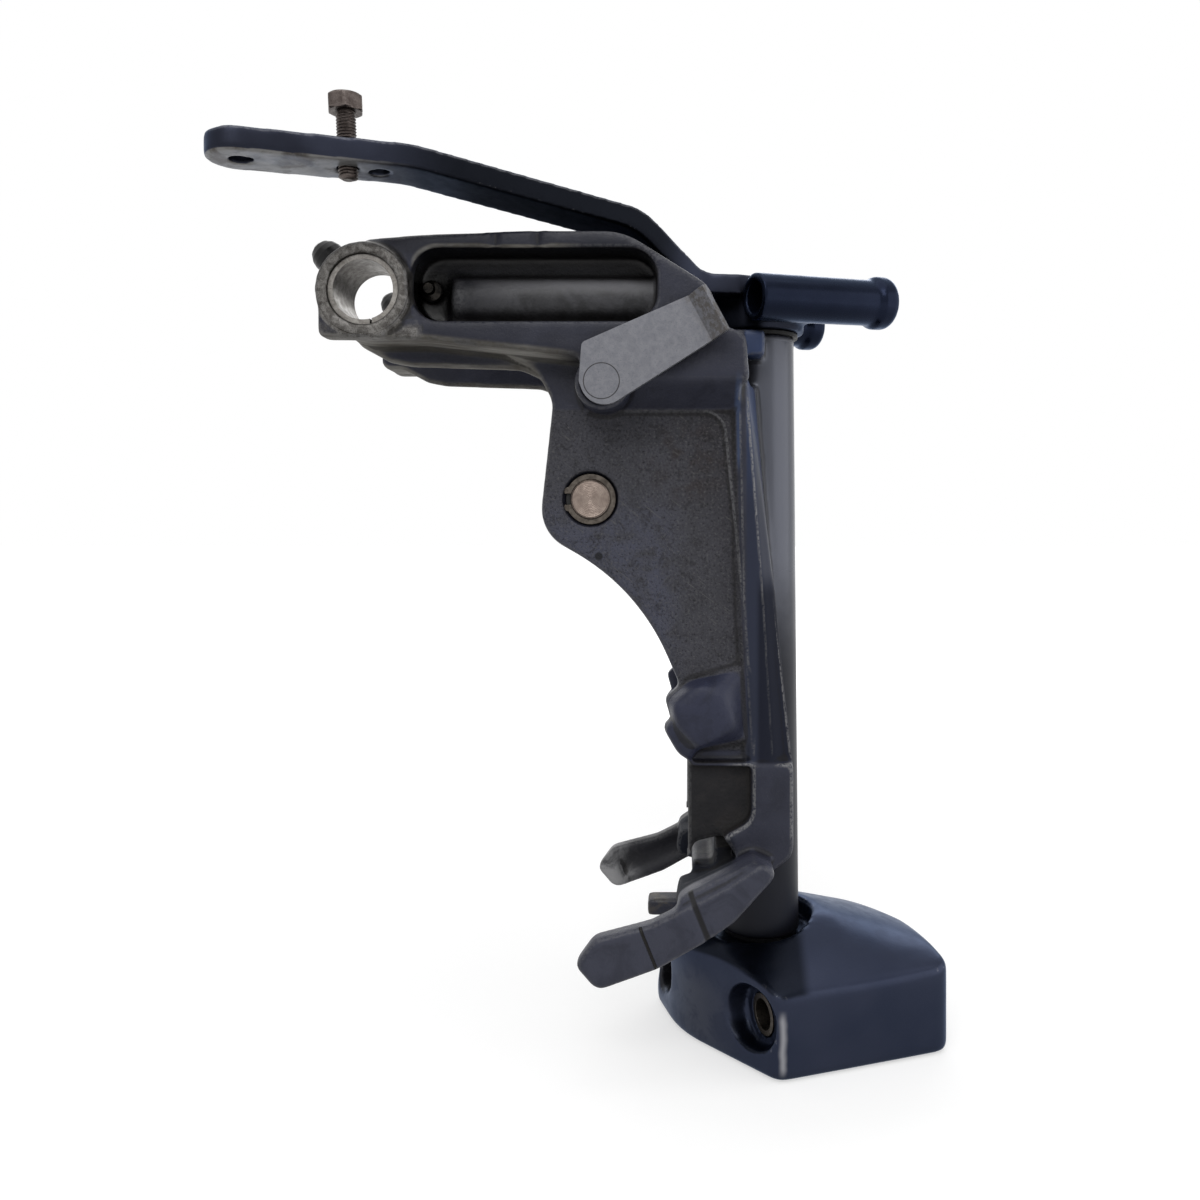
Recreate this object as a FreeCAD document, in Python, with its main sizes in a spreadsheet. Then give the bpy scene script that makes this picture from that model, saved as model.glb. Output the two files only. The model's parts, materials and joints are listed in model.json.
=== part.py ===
"""Outboard swivel bracket with its steering head, pivot shaft and lower yoke, in millimetres.

The origin is the centre of the tilt tube bore. +X points aft, +Z up and -Y to port.
The steering parts are drawn straight ahead on the swivel axis and then turned by steer_angle.
"""

import FreeCAD, Part
import math
import os
import re
import Sketcher

SIZES = {
    # tilt ears and forward arms, distances from the middle plane
    "arm_inner": 30.0,
    "arm_outer": 56.0,
    "ear_face": 60.0,
    "ear_radius": 20.5,
    "ear_front": 19.0,
    "ear_foot": 20.6,
    "ear_foot_depth": 10.0,
    "ear_pad_aft": 23.5,
    "ear_pad_rise": 1.2,
    "keel_outer": 36.0,
    "tilt_tube_radius": 12.7,
    "tilt_tube_clearance": 0.1,
    "tilt_bush_wall": 2.2,
    "tilt_bush_recess": 1.6,
    "tilt_bush_slit": 0.8,
    # forward arm outline
    "arm_top_front": 22.5,
    "arm_top": 26.2,
    "shoulder_start": 110.0,
    "shoulder_x": 147.0,
    "shoulder_z": 3.0,
    "shelf_x": 153.2,
    "shelf_z": 14.0,
    "arm_aft": 164.5,
    "arm_bottom": 38.2,
    "arm_step": 91.5,
    "arm_step_top": 28.0,
    # pocket in each arm
    "pocket_front": 19.4,
    "pocket_aft": 124.7,
    "pocket_top": 18.5,
    "pocket_bottom": 12.6,
    "pocket_corner": 12.0,
    "pocket_floor": 38.0,
    "gallery_radius": 10.5,
    "gallery_front": 34.0,
    "gallery_drop": 1.5,
    "rim_pad_front": 54.0,
    "rim_pad_aft": 74.8,
    "rim_groove_width": 3.0,
    "rim_groove_depth": 1.6,
    # cheeks that carry the tilt cylinder pin
    "cheek_outer": 38.8,
    "cheek_recess": 1.2,
    "cheek_front": 77.8,
    "cheek_toe_x": 71.4,
    "cheek_toe_z": 103.4,
    "cheek_toe_radius": 19.0,
    "cheek_hollow_x": 115.5,
    "cheek_hollow_z": 128.3,
    "cheek_hollow_radius": 97.0,
    "column_front": 138.0,
    "column_neck_z": 180.0,
    "ledge_drop": 11.5,
    "rim_corner_x": 153.9,
    "rim_corner_radius": 10.0,
    # side ribs beside the swivel tube
    "rib_outer": 43.0,
    "rib_top_front": 160.2,
    "rib_top_aft": 164.0,
    "rib_mid_z": 133.0,
    "rib_mid_front": 162.4,
    "rib_mid_aft": 171.2,
    "rib_mid_edge": 177.3,
    "rib_low_front": 166.8,
    "rib_low_aft": 175.4,
    "rib_low_edge": 184.0,
    "rib_low_z": 203.0,
    # swivel tube and shaft
    "swivel_offset": 173.0,
    "tube_radius_top": 16.2,
    "tube_radius": 18.6,
    "tube_top": 11.0,
    "tube_bottom": 293.0,
    "shaft_radius": 11.5,
    "shaft_bore_radius": 7.0,
    "shaft_clearance": 0.05,
    "tube_relief": 0.8,
    "swivel_bush_wall": 2.0,
    "swivel_bush_length": 28.0,
    "thrust_washer_thickness": 1.6,
    "thrust_washer_radius": 18.0,
    "seal_radius": 17.5,
    "seal_thickness": 1.7,
    "running_gap": 0.3,
    # saddle under the steering head
    "saddle_radius": 49.0,
    "saddle_floor": 10.6,
    "bridge_front": 96.0,
    "bridge_top": 11.0,
    "bridge_low": -8.0,
    "bridge_thickness": 13.0,
    "web_front": 150.0,
    "web_thickness": 8.0,
    # mid boss with slanted faces
    "boss_nose_x": 127.5,
    "boss_nose_z": 177.0,
    "boss_crest_x": 131.0,
    "boss_crest_z": 179.0,
    "boss_rise": 12.2,
    "lug_x": 126.8,
    "lug_z": 189.5,
    "lug_outer": 46.0,
    # lower block and claws
    "block_outer": 44.0,
    "block_aft": 184.5,
    "block_top": 204.5,
    "block_foot": 246.0,
    "panel_aft": 166.0,
    "panel_foot": 236.0,
    "panel_depth": 7.0,
    "claw_inner": 54.0,
    "claw_outer": 63.0,
    "claw_tip_x": 89.9,
    "claw_tip_z": 285.3,
    "claw_root_x": 169.0,
    "claw_root_z": 242.0,
    "claw_root_outer": 60.0,
    "claw_heel_x": 157.5,
    "claw_heel_z": 267.5,
    "claw_slope": 22.0,
    "claw_scoop_radius": 9.0,
    "recess_x": 141.0,
    "recess_z": 241.7,
    "recess_inner": 24.0,
    "tongue_front": 119.0,
    "tongue_half_width": 6.0,
    "tongue_lift": 6.0,
    "tongue_thickness": 8.0,
    # tilt cylinder pin
    "pin_x": 94.6,
    "pin_z": 88.6,
    "pin_radius": 9.0,
    "pin_bush_wall": 2.0,
    "pin_seat_radius": 12.4,
    "pin_seat_depth": 3.2,
    "circlip_thickness": 1.2,
    "circlip_width": 2.2,
    "circlip_gap": 5.0,
    "fixed_gap": 0.02,
    # tilt stop levers
    "stop_x": 101.5,
    "stop_z": 39.4,
    "stop_angle": 28.4,
    "stop_shaft_radius": 7.5,
    "stop_bush_wall": 1.5,
    "stop_boss_radius": 12.0,
    "stop_boss_face": 59.2,
    "lever_gap": 0.5,
    "lever_thickness": 3.0,
    "lever_length": 49.4,
    "lever_low": 7.1,
    "lever_high": 14.1,
    "lever_back": 10.8,
    "lever_peak": 18.2,
    "tab_reach": 8.0,
    "tab_flare": 6.5,
    # steering head and arm
    "steer_angle": 25.0,
    "head_top": 14.8,
    "head_bottom": 9.0,
    "head_radius": 21.0,
    "head_bar": 15.0,
    "head_bar_top": 12.0,
    "arm_length": 242.0,
    "arm_half_width": 13.0,
    "arm_thickness": 9.3,
    "arm_tip_top": 49.2,
    "arm_bend_x": 166.0,
    "arm_bend_top": 53.2,
    "arm_knee_x": 66.0,
    "arm_knee_top": 40.2,
    "arm_foot_x": 36.0,
    "tip_hole_radius": 4.4,
    "link_hole_x": 177.6,
    "link_hole_radius": 4.1,
    # upper mount tubes
    "mount_spread": 31.2,
    "mount_height": 2.5,
    "mount_rise": 2.6,
    "mount_radius": 10.6,
    "mount_bore_radius": 7.2,
    "mount_bead_radius": 12.3,
    "mount_bead_length": 11.0,
    "mount_front": 21.0,
    "mount_aft": 51.5,
    # hex bolt in the steering arm
    "bolt_x": 189.9,
    "bolt_lean": 2.4,
    "bolt_radius": 4.0,
    "bolt_length": 28.5,
    "bolt_head_height": 5.3,
    "bolt_head_flats": 13.0,
    "bolt_standoff": 16.0,
    # lower yoke, heights from the foot of the swivel tube, drops from the crown
    "yoke_depth": 48.0,
    "yoke_lip": 9.0,
    "yoke_nose": 40.0,
    "yoke_front_x": 19.0,
    "yoke_front_port": 49.0,
    "yoke_shoulder_x": 35.0,
    "yoke_front_starboard": 50.0,
    "yoke_aft_x": 67.0,
    "yoke_aft_port": 60.0,
    "yoke_aft_starboard_x": 55.0,
    "yoke_aft_starboard": 56.0,
    "yoke_tail": 75.0,
    "yoke_tail_port": 13.0,
    "yoke_corner": 8.0,
    "yoke_top_edge": 4.0,
    "yoke_bottom_edge": 2.5,
    "crown_half_width": 75.0,
    "crown_front": 50.0,
    "crown_middle": 15.0,
    "crown_aft": 85.0,
    "crown_front_drop": 22.0,
    "crown_aft_drop": 22.5,
    "crown_sag": 34.9,
    "crown_starboard_sag": 46.0,
    "crown_aft_port_drop": 17.2,
    "crown_aft_starboard_drop": 31.5,
    "yoke_hub_recess": 24.5,
    "lower_mount_spread": 33.5,
    "lower_mount_drop": 24.7,
    "lower_mount_bore": 6.6,
    "lower_sleeve_wall": 2.2,
    "lower_mount_face": 13.7,
    "lower_mount_front": 17.5,
    "lower_mount_aft": 56.0,
    "yoke_pocket_radius": 20.0,
    "yoke_floor": 10.0,
    # grease fittings
    "nipple_radius": 3.2,
    "nipple_length": 9.0,
    "nipple_drop": 100.0,
    "nipple_turn": 60.0,
    "ear_nipple_x": 24.5,
    "ear_nipple_z": 3.4,
    "cap_radius": 7.0,
    "cap_height": 10.3,
    "cap_angle": 47.6,
}

doc = FreeCAD.newDocument("SwivelBracket")
sheet = doc.addObject("Spreadsheet::Sheet", "Sizes")
for row, (size_name, size_value) in enumerate(SIZES.items(), start=1):
    sheet.set("A%d" % row, size_name)
    sheet.set("B%d" % row, str(size_value))
    sheet.setAlias("B%d" % row, size_name)
doc.recompute()

nodes = {}


def tied(text):
    """An expression over the sheet, from one written with plain size names."""
    return re.sub(r"[a-z_]+[a-z]", lambda word: "Sizes." + word.group() if word.group() in SIZES
                  else word.group(), str(text))


def amount(text):
    """The number that such an expression gives now."""
    return float(sheet.evalExpression(tied(text)))


def bind(thing, field, text):
    thing.setExpression(field, tied(text))


def place(thing, x="0", y="0", z="0", axis=None, angle="0"):
    """Puts a finished object at a tied position, turned about an axis through it."""
    turn = FreeCAD.Rotation()
    if axis:
        turn = FreeCAD.Rotation(FreeCAD.Vector(*axis), amount(angle))
    thing.Placement = FreeCAD.Placement(FreeCAD.Vector(amount(x), amount(y), amount(z)), turn)
    for letter, text in (("x", x), ("y", y), ("z", z)):
        bind(thing, "Placement.Base." + letter, text)
    if axis:
        bind(thing, "Placement.Rotation.Angle", angle)
    return thing


def steer(thing):
    """Turns a steering part about the swivel axis to where the photograph shows it."""
    return place(thing, x="swivel_offset", axis=(0, 0, 1), angle="steer_angle")


def node(thing, name):
    thing.Label = name
    nodes[name] = thing
    return thing


def sketch_on(body, role, offset="0"):
    plane = next(item for item in body.Origin.OriginFeatures if item.Role == role)
    sketch = body.newObject("Sketcher::SketchObject", body.Name + "Sketch")
    sketch.AttachmentSupport = [(plane, "")]
    sketch.MapMode = "FlatFace"
    bind(sketch, "AttachmentOffset.Base.z", offset)
    return sketch


def draw_corners(sketch, corners):
    """A closed run of straight edges, each corner held by two tied distances."""
    points = [FreeCAD.Vector(amount(first), amount(second), 0) for first, second, *_ in corners]
    count = len(points)
    for index, point in enumerate(points):
        sketch.addGeometry(Part.LineSegment(point, points[(index + 1) % count]))
    for index in range(count):
        sketch.addConstraint(Sketcher.Constraint("Coincident", index, 2, (index + 1) % count, 1))
    for index, (first, second, *_) in enumerate(corners):
        for kind, text, value in (
            ("DistanceX", first, points[index].x),
            ("DistanceY", second, points[index].y),
        ):
            held = sketch.addConstraint(Sketcher.Constraint(kind, -1, 1, index, 1, value))
            bind(sketch, "Constraints[%d]" % held, text)
    return points


def edges_at(shape, along, first, second):
    """Names of the straight edges that run along one axis through a given corner."""
    others = [axis for axis in (0, 1, 2) if axis != along]
    found = []
    for number, edge in enumerate(shape.Edges, start=1):
        ends = [vertex.Point for vertex in edge.Vertexes]
        if len(ends) != 2:
            continue
        flat = all(
            abs(end[others[0]] - first) < 1e-4 and abs(end[others[1]] - second) < 1e-4 for end in ends
        )
        if flat:
            found.append("Edge%d" % number)
    return found


def face_edges(shape, along, height):
    """Names of the edges that lie in one plane across an axis."""
    return [
        "Edge%d" % number
        for number, edge in enumerate(shape.Edges, start=1)
        if abs(edge.BoundBox.getPoint(0)[along] - height) < 1e-4
        and abs(edge.BoundBox.getPoint(6)[along] - height) < 1e-4
    ]


PLANES = {"XY": ("XY_Plane", 2, 1), "XZ": ("XZ_Plane", 1, -1), "YZ": ("YZ_Plane", 0, 1)}


def slab(name, corners, low, high, plane="XZ", rounded=None):
    """A plate between two tied heights over a plane, with rounded outline corners.

    On the XZ plane the heights count to port. A corner is (first, second) or
    (first, second, radius). rounded is a radius for the rim of the high face.
    """
    role, along, sign = PLANES[plane]
    body = doc.addObject("PartDesign::Body", name)
    sketch = sketch_on(body, role, low)
    draw_corners(sketch, corners)
    pad = body.newObject("PartDesign::Pad", name + "Pad")
    pad.Profile = sketch
    bind(pad, "Length", "(%s) - (%s)" % (high, low))
    doc.recompute()
    last = pad
    radii = {}
    for first, second, *radius in corners:
        if radius:
            radii.setdefault(radius[0], []).append((amount(first), amount(second)))
    for radius, places in radii.items():
        picked = [edge for spot in places for edge in edges_at(last.Shape, along, *spot)]
        fillet = body.newObject("PartDesign::Fillet", name + "Corners")
        fillet.Base = (last, picked)
        bind(fillet, "Radius", radius)
        doc.recompute()
        last = fillet
    if rounded:
        fillet = body.newObject("PartDesign::Fillet", name + "Rim")
        fillet.Base = (last, face_edges(last.Shape, along, sign * amount(high)))
        bind(fillet, "Radius", rounded)
        doc.recompute()
        last = fillet
    body.Tip = last
    return body


def lofted(name, sections, plane="XY"):
    """A ruled body between outlines with equal corner counts at tied heights."""
    role = PLANES[plane][0]
    body = doc.addObject("PartDesign::Body", name)
    sketches = []
    for height, corners in sections:
        sketch = sketch_on(body, role, height)
        draw_corners(sketch, corners)
        sketches.append(sketch)
    loft = body.newObject("PartDesign::AdditiveLoft", name + "Loft")
    loft.Profile = sketches[0]
    loft.Sections = sketches[1:]
    loft.Ruled = True
    doc.recompute()
    body.Tip = loft
    return body


def turned(name, profile):
    """A full turn of a (radius, height) outline about the body's own Z axis."""
    body = doc.addObject("PartDesign::Body", name)
    sketch = sketch_on(body, "XZ_Plane")
    draw_corners(sketch, profile)
    spin = body.newObject("PartDesign::Revolution", name + "Turn")
    spin.Profile = sketch
    spin.ReferenceAxis = (sketch, ["V_Axis"])
    spin.Angle = 360
    doc.recompute()
    body.Tip = spin
    return body


def ring(name, inner, outer, low, high):
    return turned(name, [(inner, low), (outer, low), (outer, high), (inner, high)])


AXES = {"X": (0, 1, 0), "Y": (1, 0, 0), "Z": (0, 0, 1)}
TURNS = {"X": "90", "Y": "90", "Z": "0"}


def rod(name, radius, low, high, axis="Z", x="0", y="0", z="0"):
    """A plain cylinder between two tied heights along an axis.

    Heights along Y count to port, so that both sides read alike.
    """
    cylinder = doc.addObject("Part::Cylinder", name)
    bind(cylinder, "Radius", radius)
    bind(cylinder, "Height", "(%s) - (%s)" % (high, low))
    shift = {"X": x, "Y": y, "Z": z}
    shift[axis] = "-(%s)" % low if axis == "Y" else low
    return place(cylinder, shift["X"], shift["Y"], shift["Z"], AXES[axis], TURNS[axis])


def block(name, x_span, y_span, z_span):
    box = doc.addObject("Part::Box", name)
    for field, (low, high) in (("Length", x_span), ("Width", y_span), ("Height", z_span)):
        bind(box, field, "(%s) - (%s)" % (high, low))
    return place(box, x_span[0], y_span[0], z_span[0])


def joined(name, *parts):
    fuse = doc.addObject("Part::MultiFuse", name)
    fuse.Shapes = list(parts)
    return fuse


def shared(name, *parts):
    common = doc.addObject("Part::MultiCommon", name)
    common.Shapes = list(parts)
    return common


def without(name, base, *tools):
    cut = doc.addObject("Part::Cut", name)
    cut.Base = base
    cut.Tool = tools[0] if len(tools) == 1 else joined(name + "Tools", *tools)
    return cut


def mirrored(name, source):
    mirror = doc.addObject("Part::Mirroring", name)
    mirror.Source = source
    mirror.Normal = FreeCAD.Vector(0, 1, 0)
    return mirror


def both_sides(name, source):
    """The port piece and its mirror image, as two nodes."""
    node(source, name + "_port")
    node(mirrored(name + "Starboard", source), name + "_starboard")


# Casting, port side


def arm_and_ear():
    outline = [
        ("0", "arm_top_front"),
        ("ear_pad_aft", "arm_top_front + 2"),
        ("rim_pad_aft", "arm_top"),
        ("shoulder_start", "arm_top", "30"),
        ("shoulder_x", "shoulder_z", "14"),
        ("shelf_x", "-shelf_z"),
        ("shelf_x + 9.6", "-shelf_z - 4", "3"),
        ("arm_aft", "-arm_bottom"),
        ("arm_step", "-arm_bottom", "2"),
        ("arm_step", "-arm_step_top", "2"),
        ("ear_pad_aft", "-ear_foot"),
        ("8", "-ear_foot"),
        ("-ear_front + 10", "-3"),
    ]
    plate = slab("ArmPlate", outline, "arm_inner", "arm_outer", rounded="2")
    ear = rod("EarBarrel", "ear_radius", "arm_inner", "ear_face", "Y")
    pad_outline = [
        ("0", "-ear_foot"),
        ("ear_pad_aft", "-ear_foot"),
        ("ear_pad_aft", "-pocket_bottom", "1"),
        ("0", "-pocket_bottom"),
    ]
    pad = slab("EarPad", pad_outline, "arm_inner", "arm_outer + ear_pad_rise")
    foot_outline = [
        ("-ear_front", "-5"),
        ("-ear_front", "-ear_foot", "3"),
        ("10", "-ear_foot"),
        ("10", "-5"),
    ]
    foot = slab("EarFoot", foot_outline, "ear_face - ear_foot_depth", "ear_face")
    keel_outline = [
        ("-9", "-ear_foot + 5"),
        ("-9", "-ear_foot + 0.6"),
        ("4.6", "-ear_foot - 6.8"),
        ("14", "-ear_foot - 8.6"),
        ("63", "-ear_foot - 10.2"),
        ("80", "-arm_bottom"),
        ("80", "-ear_foot + 0.6"),
    ]
    keel = slab("Keel", keel_outline, "arm_inner", "keel_outer", rounded="1")
    return joined("ArmAndEar", plate, ear, pad, foot, keel)


def starboard_foot():
    """The starboard ear keeps the full width of its foot, outside the bore."""
    outline = [
        ("-ear_front", "-ear_foot + 8"),
        ("-ear_front", "-ear_foot + 3"),
        ("-ear_front + 2.5", "-ear_foot"),
        ("ear_pad_aft", "-ear_foot"),
        ("ear_pad_aft", "-ear_foot + 5"),
        ("-ear_front + 13", "-ear_foot + 5"),
        ("-ear_front + 5", "-ear_foot + 8"),
    ]
    return slab("StarboardFoot", outline, "-ear_face + 2", "-arm_inner")


def arm_pocket():
    """The cored pocket, with the half-round gallery left standing in it."""
    outline = [
        ("pocket_front", "-pocket_bottom", "pocket_corner"),
        ("pocket_aft", "-pocket_bottom", "pocket_corner"),
        ("pocket_aft", "pocket_top", "pocket_corner"),
        ("pocket_front", "pocket_top", "pocket_corner"),
    ]
    hollow = slab("ArmPocket", outline, "pocket_floor", "ear_face + 1")
    gallery = rod("Gallery", "gallery_radius", "gallery_front", "pocket_aft", "X", y="-pocket_floor",
                  z="-gallery_drop")
    return without("PocketCore", hollow, gallery)


def rim_grooves():
    cutters = []
    for number, start in enumerate(("rim_pad_front", "rim_pad_aft - rim_groove_width")):
        cutters.append(block(
            "RimGroove%d" % number,
            (start, "(%s) + rim_groove_width" % start),
            ("-arm_outer - 1", "-arm_outer + rim_groove_depth"),
            ("pocket_top - 2", "arm_top + 2"),
        ))
    return cutters


def cheek():
    outline = [
        ("56", "-24"),
        ("70", "-31", "12"),
        ("cheek_front", "-45", "12"),
        ("cheek_toe_x", "-cheek_toe_z", "cheek_toe_radius"),
        ("cheek_hollow_x", "-cheek_hollow_z", "cheek_hollow_radius"),
        ("column_front", "-column_neck_z", "10"),
        ("column_front", "-block_foot", "6"),
        ("claw_heel_x", "-claw_heel_z + 4"),
        ("block_aft", "-block_foot", "8"),
        ("block_aft", "-rib_low_z"),
        ("arm_aft", "-arm_bottom + 4"),
        ("arm_aft - 20", "-24"),
    ]
    face = slab("Cheek", outline, "arm_inner", "cheek_outer", rounded="1.2")
    rim = [
        ("arm_step + 1", "-arm_bottom - 6"),
        ("rib_mid_front", "-arm_bottom - 6"),
        ("rib_mid_front + 0.6", "-rib_mid_z"),
        ("rib_mid_front", "-rib_mid_z"),
        ("rim_corner_x", "-arm_bottom - ledge_drop", "rim_corner_radius"),
        ("arm_step + 1", "-arm_bottom - ledge_drop"),
    ]
    return joined("CheekSide", face, slab("CheekRim", rim, "arm_inner", "cheek_outer + cheek_recess"))


def ledge():
    """Slanted shelf where the thick arm steps in to the cheek."""
    outline = [
        ("-arm_inner", "-arm_bottom + 2"),
        ("-arm_outer + 1", "-arm_bottom + 2"),
        ("-arm_outer + 1", "-arm_bottom"),
        ("-cheek_outer - cheek_recess", "-arm_bottom - ledge_drop"),
        ("-arm_inner", "-arm_bottom - ledge_drop"),
    ]
    return slab("Ledge", outline, "arm_step + 1", "rib_top_front + 1", plane="YZ")


def side_wall():
    """Wall and raised rib that run from the cheek's edge round to the swivel tube."""
    top = [
        ("rib_top_front", "-rib_outer"),
        ("rib_top_aft", "-rib_outer"),
        ("rib_top_aft + 1.2", "-rib_outer + 6"),
        ("swivel_offset - 3", "-tube_radius_top + 2"),
        ("swivel_offset - 12", "-tube_radius_top + 8"),
        ("rib_top_front - 10", "-arm_inner"),
    ]
    middle = [
        ("rib_mid_front", "-rib_outer"),
        ("rib_mid_aft", "-rib_outer"),
        ("rib_mid_edge", "-rib_outer + 7"),
        ("swivel_offset + 4", "-tube_radius_top + 2"),
        ("swivel_offset - 12", "-tube_radius_top + 8"),
        ("rib_mid_front - 10", "-arm_inner"),
    ]
    foot = [
        ("rib_low_front", "-rib_outer"),
        ("rib_low_aft", "-rib_outer"),
        ("rib_low_edge", "-rib_outer + 7"),
        ("swivel_offset + 8", "-tube_radius + 4"),
        ("swivel_offset - 12", "-tube_radius + 8"),
        ("rib_low_front - 12", "-arm_inner"),
    ]
    sections = [("-arm_bottom + 2", top), ("-rib_mid_z", middle), ("-rib_low_z", foot)]
    return lofted("SideWall", sections)


def slanted_boss():
    """Bulge at the neck of the casting, all slanted faces."""
    base = [
        ("boss_nose_x", "-boss_nose_z"),
        ("boss_nose_x + 3.5", "-boss_nose_z - 12"),
        ("boss_nose_x + 13", "-boss_nose_z - 23"),
        ("boss_nose_x + 36.5", "-boss_nose_z - 20"),
        ("boss_nose_x + 36", "-boss_nose_z + 17"),
        ("boss_nose_x + 9.5", "-boss_nose_z + 8"),
    ]
    crest = [
        ("boss_crest_x", "-boss_crest_z"),
        ("boss_crest_x + 3", "-boss_crest_z - 8.5"),
        ("boss_crest_x + 12", "-boss_crest_z - 18"),
        ("boss_crest_x + 28", "-boss_crest_z - 8"),
        ("boss_crest_x + 21.5", "-boss_crest_z + 5"),
        ("boss_crest_x + 12", "-boss_crest_z + 10.5"),
    ]
    heights = ("arm_inner + 1", "cheek_outer - 1", "cheek_outer + boss_rise")
    bulge = lofted("SlantedBoss", list(zip(heights, (base, base, crest))), "XZ")
    lug = [
        ("lug_x", "-lug_z"),
        ("lug_x + 3.9", "-lug_z + 3.5"),
        ("lug_x + 16.2", "-lug_z - 8.5"),
        ("lug_x + 11.7", "-lug_z - 14.5"),
        ("lug_x + 6.7", "-lug_z - 11.5"),
    ]
    return joined("BossAndLug", bulge, slab("BossLug", lug, "arm_inner", "lug_outer", rounded="1"))


def lower_block():
    outline = [
        ("column_front", "-block_top", "2"),
        ("block_aft", "-block_top", "2"),
        ("block_aft", "-block_foot", "8"),
        ("claw_heel_x", "-claw_heel_z + 2"),
        ("column_front - 4", "-claw_heel_z + 4"),
        ("column_front", "-block_foot"),
    ]
    return slab("LowerBlock", outline, "arm_inner", "block_outer", rounded="1.5")


def panel_recess():
    panel = [
        ("column_front - 10", "-block_top - 2"),
        ("panel_aft", "-block_top - 2"),
        ("panel_aft", "-panel_foot + 6", "8"),
        ("panel_aft - 11", "-panel_foot"),
        ("panel_aft - 15", "-panel_foot - 6"),
        ("column_front - 10", "-panel_foot - 9"),
    ]
    hollow = [
        ("recess_x", "-recess_z"),
        ("recess_x + 13.2", "-recess_z + 3.1"),
        ("recess_x + 20.2", "-recess_z - 7"),
        ("recess_x + 9", "-recess_z - 13.3"),
        ("recess_x - 7", "-recess_z - 16.3"),
    ]
    return [
        slab("PanelRecess", panel, "block_outer - panel_depth", "claw_outer"),
        slab("RootHollow", hollow, "recess_inner", "block_outer + 0.5"),
    ]


def claw():
    """Blunt claw that hooks on the thrust rod, with its root on the lower block."""
    finger = [
        ("claw_tip_x", "-claw_tip_z", "3"),
        ("claw_tip_x + 8", "-claw_tip_z + 11", "6"),
        ("claw_root_x - 47", "-claw_root_z - 26"),
        ("claw_root_x - 15", "-claw_root_z - 10"),
        ("claw_root_x", "-claw_root_z", "4"),
        ("claw_root_x + 7", "-claw_root_z - 5", "3"),
        ("claw_heel_x", "-claw_heel_z"),
        ("claw_heel_x - 11.5", "-claw_heel_z - 8"),
        ("claw_tip_x + 35.5", "-claw_heel_z - 19.5"),
        ("claw_tip_x + 9.5", "-claw_tip_z - 11", "6"),
    ]
    root = [
        ("claw_root_x - 35", "-claw_root_z - 16.5", "2"),
        ("claw_root_x - 30.3", "-claw_root_z - 13.3"),
        ("claw_root_x - 2.9", "-claw_root_z - 0.2"),
        ("claw_root_x + 6", "-claw_root_z - 4"),
        ("claw_heel_x + 3", "-claw_heel_z + 4"),
        ("claw_heel_x - 11.5", "-claw_heel_z - 6", "4"),
        ("claw_root_x - 37", "-claw_heel_z - 2", "4"),
    ]
    return joined(
        "ClawPort",
        slab("ClawFinger", finger, "claw_inner", "claw_outer", rounded="1.5"),
        slab("ClawRoot", root, "arm_inner", "claw_root_outer"),
    )


def claw_cuts():
    """Long hollow on the inner side of the claw and two scribed grooves on its face."""
    scoop = rod("ClawScoop", "claw_scoop_radius", "0", "46")
    place(scoop, x="claw_tip_x + 13", y="-claw_inner + 6.5", z="-claw_tip_z", axis=(0, 1, 0),
          angle="90 - claw_slope")
    cutters = [scoop]
    grooves = (("35.6", "-4", "0.8", "0.5"), ("57.6", "5.3", "2.4", "1"))
    for number, (reach, lift, width, depth) in enumerate(grooves):
        groove = block("ClawGroove%d" % number, ("0", width), ("0", depth + " + 1"), ("0", "24"))
        place(groove, x="claw_tip_x + " + reach, y="-claw_outer - 1", z="-claw_tip_z + " + lift,
              axis=(0, 1, 0), angle="-claw_slope")
        cutters.append(groove)
    return cutters


def port_half():
    solid = joined(
        "PortSolid",
        arm_and_ear(),
        cheek(),
        ledge(),
        side_wall(),
        slanted_boss(),
        lower_block(),
        claw(),
        rod("StopBoss", "stop_boss_radius", "arm_inner", "stop_boss_face", "Y", x="stop_x", z="-stop_z"),
    )
    cutters = [arm_pocket(), *rim_grooves(), *panel_recess(), *claw_cuts()]
    cutters.append(rod("TiltSeat", "tilt_tube_radius + tilt_tube_clearance + tilt_bush_wall + fixed_gap",
                       "arm_inner - 1", "ear_face + 1", "Y"))
    cutters.append(rod("PinBore", "pin_radius + pin_bush_wall + fixed_gap", "arm_inner - 1",
                       "cheek_outer + 1", "Y", x="pin_x", z="-pin_z"))
    cutters.append(rod("PinSeat", "pin_seat_radius", "cheek_outer - pin_seat_depth", "cheek_outer + 1",
                       "Y", x="pin_x", z="-pin_z"))
    cutters.append(rod("StopBore", "stop_shaft_radius + stop_bush_wall + fixed_gap", "arm_inner - 1",
                       "stop_boss_face + 1", "Y", x="stop_x", z="-stop_z"))
    cutters.append(rod("EarNippleHole", "nipple_radius + fixed_gap", "arm_inner + 2",
                       "pocket_floor + 1", "Y", x="ear_nipple_x", z="ear_nipple_z"))
    return without("PortHalf", solid, *cutters)


def beside_tube(thing, reach):
    """Turns a piece outwards on the swivel tube, on its hidden side between aft and starboard."""
    turn = math.radians(amount("nipple_turn"))
    return place(thing, x="swivel_offset + (%s) * cos(nipple_turn)" % reach,
                 y="(%s) * sin(nipple_turn)" % reach, z="-nipple_drop",
                 axis=(-math.sin(turn), math.cos(turn), 0), angle="90")


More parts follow.
